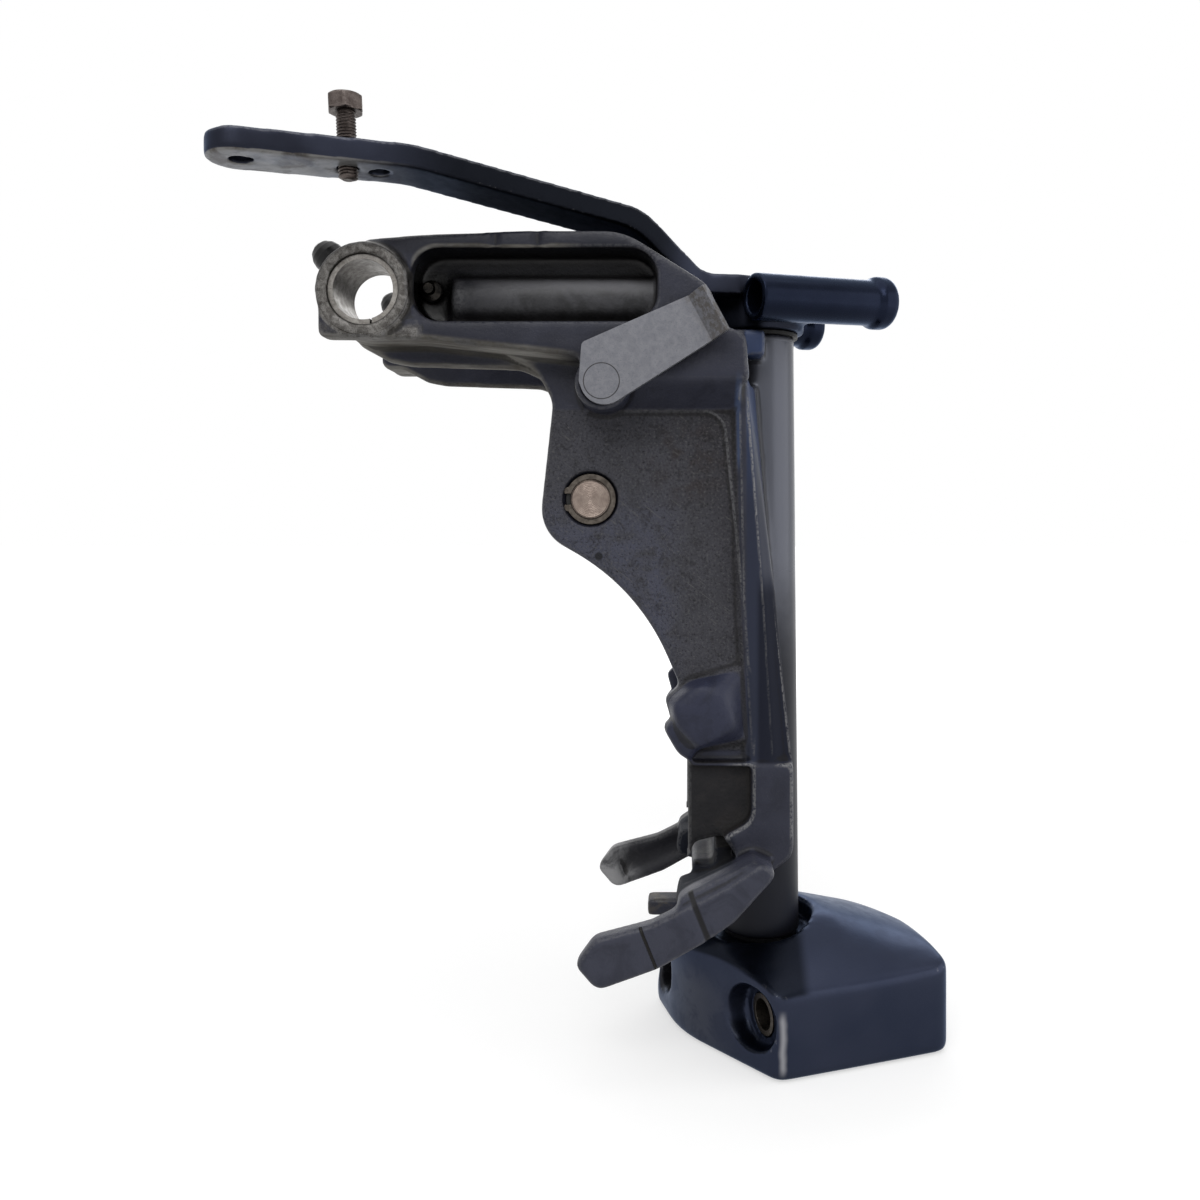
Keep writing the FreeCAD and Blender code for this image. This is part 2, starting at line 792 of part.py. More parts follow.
def casting():
    half = port_half()
    tube = turned("SwivelTube", [
        ("0", "-tube_bottom"),
        ("tube_radius", "-tube_bottom"),
        ("tube_radius_top", "-tube_top"),
        ("0", "-tube_top"),
    ])
    place(tube, x="swivel_offset")
    bridge_outline = [
        ("bridge_front", "bridge_top", "4"),
        ("swivel_offset - saddle_radius - 2", "bridge_top", "3"),
        ("swivel_offset - saddle_radius - 2", "-saddle_floor"),
        ("swivel_offset", "-saddle_floor - 1"),
        ("swivel_offset", "-saddle_floor - bridge_thickness"),
        ("bridge_front + 16", "-saddle_floor - bridge_thickness", "6"),
        ("bridge_front", "bridge_low", "6"),
    ]
    bridge = slab("Bridge", bridge_outline, "-arm_inner - 1", "arm_inner + 1")
    web = block("RearWeb", ("web_front", "web_front + web_thickness"),
                ("-arm_inner - 1", "arm_inner + 1"), ("-block_foot - 8", "-saddle_floor - 5"))
    tongue = block("Tongue", ("tongue_front", "swivel_offset"),
                   ("-tongue_half_width", "tongue_half_width"),
                   ("-tube_bottom + tongue_lift", "-tube_bottom + tongue_lift + tongue_thickness"))
    floor = block("LowerFloor", ("column_front + 2", "swivel_offset"),
                  ("-arm_inner - 1", "arm_inner + 1"), ("-block_foot - 16", "-block_foot - 8"))
    bare = joined("BareCasting", half, mirrored("StarboardHalf", half), starboard_foot(), tube, bridge,
                  web, tongue, floor)
    shaft_way = rod("ShaftWay", "shaft_radius + tube_relief", "-tube_bottom - 1", "-tube_top + 1",
                    x="swivel_offset")
    bush_seat = "shaft_radius + shaft_clearance + swivel_bush_wall + fixed_gap"
    upper_seat = rod("UpperSeat", bush_seat, "-tube_top - swivel_bush_length", "-tube_top + 1",
                     x="swivel_offset")
    lower_seat = rod("LowerSeat", bush_seat, "-tube_bottom - 1", "-tube_bottom + swivel_bush_length",
                     x="swivel_offset")
    sweep = rod("HeadSweep", "saddle_radius", "-saddle_floor", "arm_top + 20", x="swivel_offset")
    tube_nipple = beside_tube(rod("TubeNippleHole", "nipple_radius + fixed_gap", "0", "tube_radius"),
                              "shaft_radius")
    node(without("Casting", bare, shaft_way, upper_seat, lower_seat, sweep, tube_nipple),
         "swivel_bracket")


# Pieces that stay with the casting


def tilt_bushes():
    sleeve = ring("TiltBushSleeve", "tilt_tube_radius + tilt_tube_clearance",
                  "tilt_tube_radius + tilt_tube_clearance + tilt_bush_wall", "arm_inner",
                  "ear_face - tilt_bush_recess")
    place(sleeve, axis=(1, 0, 0), angle="90")
    slit = block("TiltBushSlit", ("3", "3 + tilt_bush_slit"), ("-ear_face", "-arm_inner + 1"),
                 ("-tilt_tube_radius - tilt_bush_wall - 1", "0"))
    both_sides("tilt_bush", without("TiltBush", sleeve, slit))


def nipple(name, grip):
    """A grease nipple: threaded stem, hex collar turned round, ball head."""
    return turned(name, [
        ("0", "-(%s)" % grip),
        ("nipple_radius", "-(%s)" % grip),
        ("nipple_radius", "0"),
        ("nipple_radius + 1.4", "0"),
        ("nipple_radius + 1.4", "2.6"),
        ("nipple_radius - 1.2", "3.6"),
        ("nipple_radius - 1.2", "5"),
        ("nipple_radius - 0.4", "6.4"),
        ("nipple_radius - 1", "nipple_length - 1"),
        ("0", "nipple_length - 1"),
    ])


def grease_fittings():
    port = nipple("EarNipple", "pocket_floor - arm_inner - 3")
    place(port, x="ear_nipple_x", y="-pocket_floor", z="ear_nipple_z", axis=(1, 0, 0), angle="90")
    both_sides("ear_grease_nipple", port)
    cap = turned("EarCap", [
        ("0", "ear_radius + 0.1"),
        ("cap_radius", "ear_radius + 0.1"),
        ("cap_radius", "ear_radius + cap_height * 0.35"),
        ("cap_radius * 0.9", "ear_radius + cap_height * 0.6"),
        ("cap_radius * 0.66", "ear_radius + cap_height * 0.83"),
        ("cap_radius * 0.34", "ear_radius + cap_height * 0.96"),
        ("0", "ear_radius + cap_height"),
    ])
    place(cap, y="-ear_face + cap_radius + 4", axis=(0, 1, 0), angle="-cap_angle")
    both_sides("ear_grease_cap", cap)
    seat = "tube_radius_top + (tube_radius - tube_radius_top) * nipple_drop / tube_bottom"
    tube = nipple("TubeNipple", "tube_radius_top - shaft_radius - 2.5")
    node(beside_tube(tube, seat), "swivel_grease_nipple")


def tilt_pin():
    end = "cheek_outer - 0.6"
    groove = "cheek_outer - pin_seat_depth + fixed_gap"
    groove_end = groove + " + circlip_thickness + 2 * fixed_gap"
    neck = "pin_radius - circlip_width / 2"
    profile = [
        ("0", "-(%s)" % end), ("pin_radius - 1", "-(%s)" % end), ("pin_radius", "-(%s) + 1" % end),
        ("pin_radius", "-(%s)" % groove_end), (neck, "-(%s)" % groove_end),
        (neck, "-(%s)" % groove), ("pin_radius", "-(%s)" % groove),
        ("pin_radius", groove), (neck, groove), (neck, groove_end),
        ("pin_radius", groove_end), ("pin_radius", end + " - 1"), ("pin_radius - 1", end), ("0", end),
    ]
    pin = turned("TiltPin", profile)
    node(place(pin, x="pin_x", z="-pin_z", axis=(1, 0, 0), angle="90"), "tilt_pin")
    bush = ring("TiltPinBush", "pin_radius + fixed_gap", "pin_radius + pin_bush_wall", "arm_inner",
                "cheek_outer - pin_seat_depth")
    both_sides("tilt_pin_bush", place(bush, x="pin_x", z="-pin_z", axis=(1, 0, 0), angle="90"))
    hoop = ring("CirclipHoop", neck + " + fixed_gap", "pin_radius + circlip_width",
                groove + " + fixed_gap", groove + " + fixed_gap + circlip_thickness")
    ears = []
    for number, side in enumerate((-1, 1)):
        ear = rod("CirclipEar%d" % number, "circlip_width * 0.8", groove + " + fixed_gap",
                  groove + " + fixed_gap + circlip_thickness", "Z",
                  x="-pin_radius - circlip_width * 0.5", y="%d * circlip_gap * 0.72" % side)
        ears.append(ear)
    gap = block("CirclipGap", ("-pin_radius - 8", "-2"), ("-circlip_gap / 2", "circlip_gap / 2"),
                ("0", "cheek_outer + 5"))
    core = rod("CirclipCore", neck + " + fixed_gap", "0", "cheek_outer + 5")
    clip = without("Circlip", joined("CirclipBlank", hoop, *ears), gap, core)
    clip_turned = place(clip, x="pin_x", z="-pin_z", axis=(1, 0, 0), angle="90")
    both_sides("tilt_pin_circlip", clip_turned)


def stop_levers():
    shaft_end = "stop_boss_face + lever_gap + lever_thickness"
    shaft = ring("StopShaft", "0", "stop_shaft_radius", "-(%s)" % shaft_end, shaft_end)
    node(place(shaft, x="stop_x", z="-stop_z", axis=(1, 0, 0), angle="90"), "stop_shaft")
    bush = ring("StopBush", "stop_shaft_radius + shaft_clearance", "stop_shaft_radius + stop_bush_wall",
                "arm_inner", "stop_boss_face")
    both_sides("stop_shaft_bush", place(bush, x="stop_x", z="-stop_z", axis=(1, 0, 0), angle="90"))
    face = "stop_boss_face + lever_gap"
    outline = [
        ("-lever_back", "-lever_back - 0.6", "lever_back - 0.5"),
        ("lever_length", "-lever_low"),
        ("lever_length", "lever_high"),
        ("0.3", "lever_peak", "2.5"),
        ("-lever_back + 2.3", "4.5", "4"),
    ]
    plate = slab("LeverPlate", outline, face, face + " + lever_thickness")
    tab_outline = [
        ("lever_length - 0.5", "-(%s)" % face),
        ("lever_length - 0.5", "-(%s) - lever_thickness" % face),
        ("lever_length + tab_reach - 2", "-(%s) - lever_thickness - tab_flare" % face),
        ("lever_length + tab_reach", "-(%s) - tab_flare" % face),
    ]
    tab = slab("LeverTab", tab_outline, "-lever_low", "lever_high", plane="XY")
    eye = rod("LeverEye", "stop_shaft_radius + fixed_gap", "0", shaft_end + " + 1", "Y")
    lever = without("StopLever", joined("LeverBlank", plate, tab), eye)
    both_sides("stop_lever", place(lever, x="stop_x", z="-stop_z", axis=(0, -1, 0), angle="stop_angle"))


def swivel_bearings():
    inner = "shaft_radius + shaft_clearance"
    outer = inner + " + swivel_bush_wall"
    upper = ring("UpperBush", inner, outer, "-tube_top - swivel_bush_length", "-tube_top")
    node(place(upper, x="swivel_offset"), "upper_swivel_bush")
    lower = ring("LowerBush", inner, outer, "-tube_bottom", "-tube_bottom + swivel_bush_length")
    node(place(lower, x="swivel_offset"), "lower_swivel_bush")
    washer = ring("ThrustWasher", "shaft_radius + running_gap", "thrust_washer_radius", "-tube_top",
                  "-tube_top + thrust_washer_thickness")
    node(place(washer, x="swivel_offset"), "upper_thrust_washer")
    seal = ring("LowerSeal", "shaft_radius + running_gap", "seal_radius",
                "-tube_bottom - seal_thickness", "-tube_bottom")
    node(place(seal, x="swivel_offset"), "lower_seal")


# Steering parts, drawn about the swivel axis


def lean(thing):
    """Tips the hex bolt or its hole about the arm's top face, its head towards the arm's tip."""
    return place(thing, x="-bolt_x + arm_tip_top * tan(bolt_lean)", axis=(0, 1, 0), angle="-bolt_lean")


def steering_arm():
    side = [
        ("-arm_length - 2", "arm_tip_top"),
        ("-arm_bend_x", "arm_bend_top", "60"),
        ("-arm_knee_x", "arm_knee_top", "25"),
        ("-arm_foot_x", "head_top", "16"),
        ("head_radius + 2", "head_top"),
        ("head_radius + 2", "head_top - arm_thickness"),
        ("-arm_foot_x - arm_thickness * 0.34", "head_top - arm_thickness", "16"),
        ("-arm_knee_x - arm_thickness * 0.4", "arm_knee_top - arm_thickness", "25"),
        ("-arm_bend_x", "arm_bend_top - arm_thickness", "60"),
        ("-arm_length - 2", "arm_tip_top - arm_thickness"),
    ]
    bar = slab("ArmBar", side, "-head_radius - 2", "head_radius + 2")
    plan = [
        ("-arm_length", "-arm_half_width", "arm_half_width - 0.5"),
        ("-arm_foot_x", "-arm_half_width", "20"),
        ("-head_radius", "-head_radius + 2", "10"),
        ("head_radius", "-head_radius + 2", "10"),
        ("head_radius", "head_radius - 2", "10"),
        ("-head_radius", "head_radius - 2", "10"),
        ("-arm_foot_x", "arm_half_width", "20"),
        ("-arm_length", "arm_half_width", "arm_half_width - 0.5"),
    ]
    sheet_cut = slab("ArmPlan", plan, "-head_bottom", "arm_bend_top + 5", plane="XY")
    blade = shared("ArmBlade", bar, sheet_cut)
    hub = rod("HeadHub", "head_radius", "-head_bottom", "head_top")
    bar_across = block("HeadBar", ("-head_bar", "head_bar"), ("-mount_spread", "mount_spread"),
                       ("mount_height - mount_radius + 2", "head_bar_top"))
    holes = [
        rod("HeadBore", "shaft_radius + fixed_gap", "-head_bottom - 1", "head_top + 1"),
        rod("TipHole", "tip_hole_radius", "0", "arm_bend_top + 5", x="-arm_length + arm_half_width"),
        rod("LinkHole", "link_hole_radius", "0", "arm_bend_top + 5", x="-link_hole_x"),
        lean(rod("BoltHole", "bolt_radius + fixed_gap", "0", "arm_bend_top + 5")),
    ]
    for name, side_sign in (("SaddlePort", "-"), ("SaddleStarboard", "")):
        saddle = rod(name, "mount_radius + shaft_clearance", "0", "mount_front + mount_aft + 2")
        place(saddle, x="-mount_front - 1", y=side_sign + "mount_spread",
              z="mount_height - (mount_front + 1) * tan(mount_rise)", axis=(0, 1, 0),
              angle="90 - mount_rise")
        holes.append(saddle)
    arm = without("SteeringArm", joined("ArmBlank", blade, hub, bar_across), *holes)
    node(steer(arm), "steering_arm")


def upper_mount_tube(name, side_sign):
    """A plain tube whose aft end is upset into a rounded bead."""
    bead = "mount_aft - mount_bead_length"
    tube = turned(name, [
        ("mount_bore_radius", "-mount_front"),
        ("mount_radius", "-mount_front"),
        ("mount_radius", bead),
        ("mount_bead_radius", bead + " + 2.5"),
        ("mount_bead_radius", "mount_aft - 3"),
        ("mount_bead_radius - 1", "mount_aft - 1"),
        ("mount_bead_radius - 3", "mount_aft"),
        ("mount_bore_radius", "mount_aft"),
    ])
    place(tube, y=side_sign + "mount_spread", z="mount_height", axis=(0, 1, 0),
          angle="90 - mount_rise")
    shell = doc.addObject("Part::Compound", name + "Set")
    shell.Links = [tube]
    return steer(shell)


def pivot_shaft():
    end = "-tube_bottom - yoke_depth + yoke_floor - 8"
    shaft = turned("PivotShaft", [
        ("shaft_bore_radius", end),
        ("shaft_radius - 1", end),
        ("shaft_radius", end + " + 1"),
        ("shaft_radius", end + " + 2.5"),
        ("shaft_radius - 1.2", end + " + 2.5"),
        ("shaft_radius - 1.2", end + " + 4.2"),
        ("shaft_radius", end + " + 4.2"),
        ("shaft_radius", "head_top - 1"),
        ("shaft_radius - 1", "head_top"),
        ("shaft_bore_radius", "head_top"),
    ])
    node(steer(shaft), "pivot_shaft")
    clip = ring("YokeClip", "shaft_radius - 1.2 + fixed_gap", "shaft_radius + 3",
                end + " + 2.5 + fixed_gap", end + " + 4.2 - fixed_gap")
    clip_slot = block("YokeClipSlot", ("0", "shaft_radius + 5"), ("-3", "3"), (end, end + " + 20"))
    node(steer(without("YokeCirclip", clip, clip_slot)), "yoke_circlip")


def steering_bolt():
    shank_top = "arm_bend_top + bolt_standoff - 2"
    shank = turned("BoltShank", [
        ("0", shank_top + " - bolt_length"),
        ("bolt_radius - 1", shank_top + " - bolt_length"),
        ("bolt_radius", shank_top + " - bolt_length + 1"),
        ("bolt_radius", shank_top + " + 0.5"),
        ("0", shank_top + " + 0.5"),
    ])
    corner = amount("bolt_head_flats") / math.sqrt(3)
    hexagon = []
    for step in range(6):
        turn = math.radians(60 * step)
        hexagon.append(("bolt_head_flats * %.6f" % (corner * math.cos(turn) / amount("bolt_head_flats")),
                        "bolt_head_flats * %.6f" % (corner * math.sin(turn) / amount("bolt_head_flats"))))
    head = slab("BoltHead", hexagon, shank_top, shank_top + " + bolt_head_height", plane="XY")
    crown = turned("BoltCrown", [
        ("0", shank_top),
        ("bolt_head_flats * 0.6", shank_top),
        ("bolt_head_flats * 0.6", shank_top + " + bolt_head_height - 1"),
        ("bolt_head_flats * 0.46", shank_top + " + bolt_head_height"),
        ("0", shank_top + " + bolt_head_height"),
    ])
    bolt = lean(joined("SteeringBolt", shank, shared("BoltCap", head, crown)))
    carried = doc.addObject("Part::Compound", "SteeringBoltSet")
    carried.Links = [bolt]
    node(steer(carried), "steering_bolt")


# Lower yoke


YOKE_FOOT = "-tube_bottom - yoke_depth"
YOKE_CROWN = "-tube_bottom + yoke_lip"
YOKE_SEAT = "-tube_bottom - seal_thickness - running_gap"
LOWER_MOUNT = "-tube_bottom - lower_mount_drop"


def crown_section(body, along, port, middle, starboard):
    """An upright outline across the yoke, closed on top by an arc through three heights."""
    sketch = sketch_on(body, "YZ_Plane", along)
    corners = [
        ("-crown_half_width", port),
        ("-crown_half_width", YOKE_FOOT + " - 4"),
        ("crown_half_width", YOKE_FOOT + " - 4"),
        ("crown_half_width", starboard),
    ]
    points = [FreeCAD.Vector(amount(first), amount(second), 0) for first, second in corners]
    top = FreeCAD.Vector(0, amount(middle), 0)
    for index in range(3):
        sketch.addGeometry(Part.LineSegment(points[index], points[index + 1]))
    sketch.addGeometry(Part.Arc(points[3], top, points[0]))
    sketch.addGeometry(Part.Point(top), True)
    for index in range(4):
        sketch.addConstraint(Sketcher.Constraint("Coincident", index, 2, (index + 1) % 4, 1))
    for index, (first, second) in enumerate(corners):
        for kind, text, value in (
            ("DistanceX", first, points[index].x),
            ("DistanceY", second, points[index].y),
        ):
            held = sketch.addConstraint(Sketcher.Constraint(kind, -1, 1, index, 1, value))
            bind(sketch, "Constraints[%d]" % held, text)
    sketch.addConstraint(Sketcher.Constraint("PointOnObject", 4, 1, -2))
    sketch.addConstraint(Sketcher.Constraint("PointOnObject", 4, 1, 3))
    held = sketch.addConstraint(Sketcher.Constraint("DistanceY", -1, 1, 4, 1, top.y))
    bind(sketch, "Constraints[%d]" % held, middle)
    return sketch


def yoke_blank():
    """The crowned block, trimmed to its plan and rounded along every rim."""
    body = doc.addObject("PartDesign::Body", "YokeBlank")
    sections = [
        crown_section(body, "-crown_front", YOKE_CROWN + " - crown_front_drop - crown_sag",
                      YOKE_CROWN + " - crown_front_drop",
                      YOKE_CROWN + " - crown_front_drop - crown_sag"),
        crown_section(body, "crown_middle", YOKE_CROWN + " - crown_sag", YOKE_CROWN,
                      YOKE_CROWN + " - crown_starboard_sag"),
        crown_section(body, "crown_aft", YOKE_CROWN + " - crown_aft_port_drop",
                      YOKE_CROWN + " - crown_aft_drop", YOKE_CROWN + " - crown_aft_starboard_drop"),
    ]
    loft = body.newObject("PartDesign::AdditiveLoft", "YokeLoft")
    loft.Profile = sections[0]
    loft.Sections = sections[1:]
    doc.recompute()
    plan = [
        ("-yoke_front_x", "-yoke_front_port", "yoke_corner"),
        ("yoke_aft_x", "-yoke_aft_port", "yoke_corner"),
        ("yoke_tail", "-yoke_tail_port", "yoke_corner * 1.5"),
        ("yoke_aft_starboard_x", "yoke_aft_starboard", "yoke_corner * 1.5"),
        ("-yoke_shoulder_x", "yoke_front_starboard", "yoke_corner * 1.75"),
        ("-yoke_nose", "yoke_corner", "yoke_corner * 7.5"),
    ]
    outline = slab("YokePlan", plan, YOKE_FOOT, YOKE_CROWN + " + 5", plane="XY")
    body.Tip = loft
    blank = shared("YokeTrimmed", outline, body)
    doc.recompute()
    rims = doc.addObject("Part::Fillet", "YokeRounded")
    rims.Base = blank
    foot = amount(YOKE_FOOT)
    rounded = []
    for number, edge in enumerate(blank.Shape.Edges, start=1):
        low, high = edge.BoundBox.ZMin, edge.BoundBox.ZMax
        if high < foot + 0.01:
            rounded.append((number, amount("yoke_bottom_edge"), amount("yoke_bottom_edge")))
        elif low > foot + 5:
            rounded.append((number, amount("yoke_top_edge"), amount("yoke_top_edge")))
    rims.Edges = rounded
    doc.recompute()
    return rims


def lower_yoke():
    cutters = [
        rod("YokeShaftBore", "shaft_radius + fixed_gap", YOKE_FOOT + " - 1", YOKE_CROWN + " + 1"),
        rod("YokeHubRecess", "yoke_hub_recess", YOKE_SEAT, YOKE_CROWN + " + 1"),
        rod("YokeUnderside", "yoke_pocket_radius", YOKE_FOOT + " - 1", YOKE_FOOT + " + yoke_floor"),
    ]
    for name, sign in (("Port", "-"), ("Starboard", "")):
        side = sign + "lower_mount_spread"
        cutters.append(rod("SleeveBore" + name, "lower_mount_bore + lower_sleeve_wall + fixed_gap",
                           "-yoke_nose - 5", "yoke_tail + 5", "X", y=side, z=LOWER_MOUNT))
        cutters.append(rod("FrontFace" + name, "lower_mount_face", "-yoke_nose - 5",
                           "-lower_mount_front", "X", y=side, z=LOWER_MOUNT))
        cutters.append(rod("AftFace" + name, "lower_mount_face", "lower_mount_aft", "yoke_tail + 5",
                           "X", y=side, z=LOWER_MOUNT))
    node(steer(without("LowerYoke", yoke_blank(), *cutters)), "lower_yoke")


def lower_mount_sleeve(name, sign):
    sleeve = ring(name, "lower_mount_bore", "lower_mount_bore + lower_sleeve_wall",
                  "-lower_mount_front", "lower_mount_aft")
    place(sleeve, y=sign + "lower_mount_spread", z=LOWER_MOUNT, axis=(0, 1, 0), angle="90")
    shell = doc.addObject("Part::Compound", name + "Set")
    shell.Links = [sleeve]
    return steer(shell)


casting()
tilt_bushes()
grease_fittings()
tilt_pin()
stop_levers()
swivel_bearings()
steering_arm()
pivot_shaft()
steering_bolt()
lower_yoke()
for side_name, sign in (("port", "-"), ("starboard", "")):
    tube_name = "UpperTube" + side_name.capitalize()
    sleeve_name = "LowerSleeve" + side_name.capitalize()
    node(upper_mount_tube(tube_name, sign), "upper_mount_tube_" + side_name)
    node(lower_mount_sleeve(sleeve_name, sign), "lower_mount_sleeve_" + side_name)

doc.recompute()
for thing in doc.Objects:
    if "Invalid" in thing.State or "Error" in thing.State:
        raise RuntimeError("%s did not build" % thing.Name)
for name, thing in nodes.items():
    if thing.Shape.isNull() or not thing.Shape.isValid():
        raise RuntimeError("%s has no valid shape" % name)

os.makedirs("parts", exist_ok=True)
for name, thing in nodes.items():
    thing.Shape.exportStep("parts/%s.step" % name)
    print("%-28s %d solids %10.1f mm3" % (name, len(thing.Shape.Solids), thing.Shape.Volume))
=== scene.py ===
"""Looks of the outboard swivel bracket, in metres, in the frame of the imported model.

+X points aft, +Z up and -Y to port, and the origin is the centre of the tilt tube bore.
"""

import json
import math

import bmesh
import bpy
import numpy as np
from mathutils import Matrix, Vector


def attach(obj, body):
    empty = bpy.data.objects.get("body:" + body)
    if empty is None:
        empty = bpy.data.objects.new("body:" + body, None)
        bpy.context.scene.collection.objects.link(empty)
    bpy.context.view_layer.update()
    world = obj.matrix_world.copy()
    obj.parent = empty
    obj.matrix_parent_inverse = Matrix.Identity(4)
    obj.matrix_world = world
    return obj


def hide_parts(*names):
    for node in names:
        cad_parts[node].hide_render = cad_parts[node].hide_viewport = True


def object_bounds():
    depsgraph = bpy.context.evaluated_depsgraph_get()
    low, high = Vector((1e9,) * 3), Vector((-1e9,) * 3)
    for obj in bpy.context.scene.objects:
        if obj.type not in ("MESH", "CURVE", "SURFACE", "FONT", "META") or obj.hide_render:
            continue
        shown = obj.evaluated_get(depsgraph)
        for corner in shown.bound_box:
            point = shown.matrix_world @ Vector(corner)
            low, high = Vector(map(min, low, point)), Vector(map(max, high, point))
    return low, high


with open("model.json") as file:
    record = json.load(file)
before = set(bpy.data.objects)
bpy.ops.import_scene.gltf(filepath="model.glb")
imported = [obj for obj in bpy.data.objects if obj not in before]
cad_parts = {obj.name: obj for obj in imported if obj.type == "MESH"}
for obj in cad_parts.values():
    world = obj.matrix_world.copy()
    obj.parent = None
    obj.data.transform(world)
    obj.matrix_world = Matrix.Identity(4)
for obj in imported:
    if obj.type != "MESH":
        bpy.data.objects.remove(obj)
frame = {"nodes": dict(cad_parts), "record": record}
cad_low, cad_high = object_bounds()

# Places and sizes of the solids, in millimetres. A pair is (x, z) unless it says otherwise
SWIVEL_X = 173.0
STEER_ANGLE = math.radians(25)
TUBE_ENDS = (-14, -290)  # z, where the tube's kept ends start
TILT_PIN = (94.6, -88.6)
STOP_AXIS = (101.5, -39.4)
CLAW_TIP = (89.9, -285.3)
CLAW_SLOPE = math.radians(22)
BOSS = (144.0, -181.0)
RIM_PAD_X = 64.4
GALLERY_AXIS = (38, -1.5)  # side, z
GALLERY_END = (34, -1.5)
CHEEK_CORNER = (144.9, -59.7)
RIM_BEND_Z = -133
UPPER_LEAN = 0.102  # run over rise of the rim above its bend
LOWER_LEAN = 0.063  # and below it
UPPER_MOUNT = (31.2, 2.5)  # side, z
LOWER_MOUNT = (33.5, -317.7)  # side, z
ARM_HOLES = ((-177.6, 5), (-229, 5.5))  # place along the arm, radius that keeps its edge
YOKE_FOOT = -341
ARM_TIP_TOP = 49.2
BOLT_X = 189.9
BOLT_LEAN = math.radians(2.4)
BOLT_TOP = 67.2
BOLT_LENGTH = 28.5
BOLT_END = BOLT_TOP - BOLT_LENGTH
BOLT_RADIUS = 4.0
BOLT_PITCH = 1.25
THREAD_DEPTH = 0.62
THREAD_SIDES = 28
HEAD_FLAT = 6.5
HEAD_TURN = math.radians(24)
HEAD_SIDES = 36
HEAD_RINGS = ((-1.4, 0.99), (-0.9, 1.13), (4.5, 1.13), (5.25, 0.99))  # rise, share of the flat

# The two other axes of a line along Y or Z
LINE_Y = (0, 2)
LINE_Z = (0, 1)

# Cast copies: how far a point has to move to count as fully worn, and the margin to the CAD box
WEAR_DEPTH = 0.45
BOX_INSET = 0.002

# Machined seats that keep their edges: a radius, or a radius and the side from which they lie
EAR_SEAT = (16.5, 30.5)
STOP_SEAT = (9.5, 57)
PIN_SEAT = 13.5
TUBE_SEAT = 19.5
SHAFT_SEAT = 13.5
UPPER_SEAT = 12
LOWER_SEAT = 10
RIM_PAD = (13, 52, 15.5)  # half length, side, z

# The softest forms of the casting
BOSS_REACH = (23, 43)  # radius, side from which it stands out
GALLERY_REACH = (10, 44, 6)  # radius, middle side, half width

# What the yoke's copy lowers, (start, length) along the arm and across it
PORT_RIM = ((-22, 89), (-20, 30))
PORT_RIM_SINK = 5.5
AFT_CROWN = ((27, 46), (-45, 25))
AFT_CROWN_SINK = 2
CROWN_RISE = 41
SLEEVE_CLEARANCE = 14

# The thin toe of the bracket: points above the first height rise to the second
TOE_AFT = 141.5
TOE_SIDES = (26, 47)
TOE_HEIGHTS = (-254, -246)

# Surfaces of the bracket as zones: ranges of x, z and side, the distance from the middle plane. A
# third number is a softness other than the usual one
CHEEK = {"x": (66, 163.5, 1.2), "side": (36.5, 41.4), "z": (-200, -49, 0.8)}
PANEL = {"x": (130, 166), "side": (30, 42), "z": (-246, -204)}
POCKET = {"x": (18, 126), "side": (26, 54.6), "z": (-13.5, 19.5)}
# Where a painted highlight, a blue glint, lies on the rib's corner
PAINTED_GLINT = {"x": (158.5, 161, 0.8), "z": (-74, -38, 5)}
POCKET_BAND = {"z": (5, 12, 3)}
GALLERY_TOP = {"z": (2, 7, 3)}
HOLLOW_WIDTH = {"x": (132, 158, 2)}
GREASE_SIDE = {"side": (30, 50)}
RIB = {"z": (-238, -44)}
UPPER_RIM = {"z": (RIM_BEND_Z, -60, 1)}
LOWER_RIM = {"z": (-200, RIM_BEND_Z, 1)}
LEVEL_RIM = {"z": (-50.4, -49.3, 0.3), "x": (100, 145, 4)}

# Surfaces that lie past edges, each (where the change starts, where it is full). up is how far a
# face looks up
CHEEK_EDGE = {"side": (37, 38.2)}
FACET = {"x": (163, 164.4), "z": (-206, -204), "side": (18, 22)}
DEEP_FACET = {"x": (167, 170), "z": (-118, -132)}
HIGH_FACET = {"z": (-95, -45)}
TUBE_TOP = {"z": (-12, -14)}
POCKET_EDGE = {"side": (36.5, 37.5)}
POCKET_ROOF = {"z": (13, 16)}
POCKET_AFT = {"x": (40, 70)}
UNDERSIDE = {"up": (-0.1, -0.5), "z": (-47, -43), "x": (95, 80)}
EAR_FACE = {"side": (56.5, 57.5)}
EAR_SIDE = {"side": (50, 55)}
EAR_LOWER = {"x": (26, 22), "z": (-13, -17), "side": (50, 54)}
CLAW = {"z": (-236, -246), "side": (48, 52)}
FAR_CLAW = {"y": (30, 40)}
FAR_TIP = {"y": (40, 48), "z": (-255, -262)}
SCRIBED_SIDE = {"side": (60.8, 61.4)}
GROOVE_SIDE = {"side": (56, 58)}
THROAT = {"x": (140, 128), "z": (-240, -248), "side": (52, 46)}
HOLLOW_OUTER = {"z": (-234, -240), "side": (52, 49)}
HOLLOW_INNER = {"side": (20, 24)}
ARM_UPPER = {"x": (150, 130), "z": (12, 18)}
LOW_FRONT = {"x": (140, 122), "z": (-80, -108)}
PAINTED_GLINT_SIDE = {"side": (37, 38)}
RIB_CORNER = {"x": (146, 150), "side": (37, 38.5)}
RIM_INNER = {"side": (36, 38)}
RIM_OUTER = {"side": (42.5, 41.5)}
RIM_TURN = {"x": (144, 145), "z": (-61, -60)}

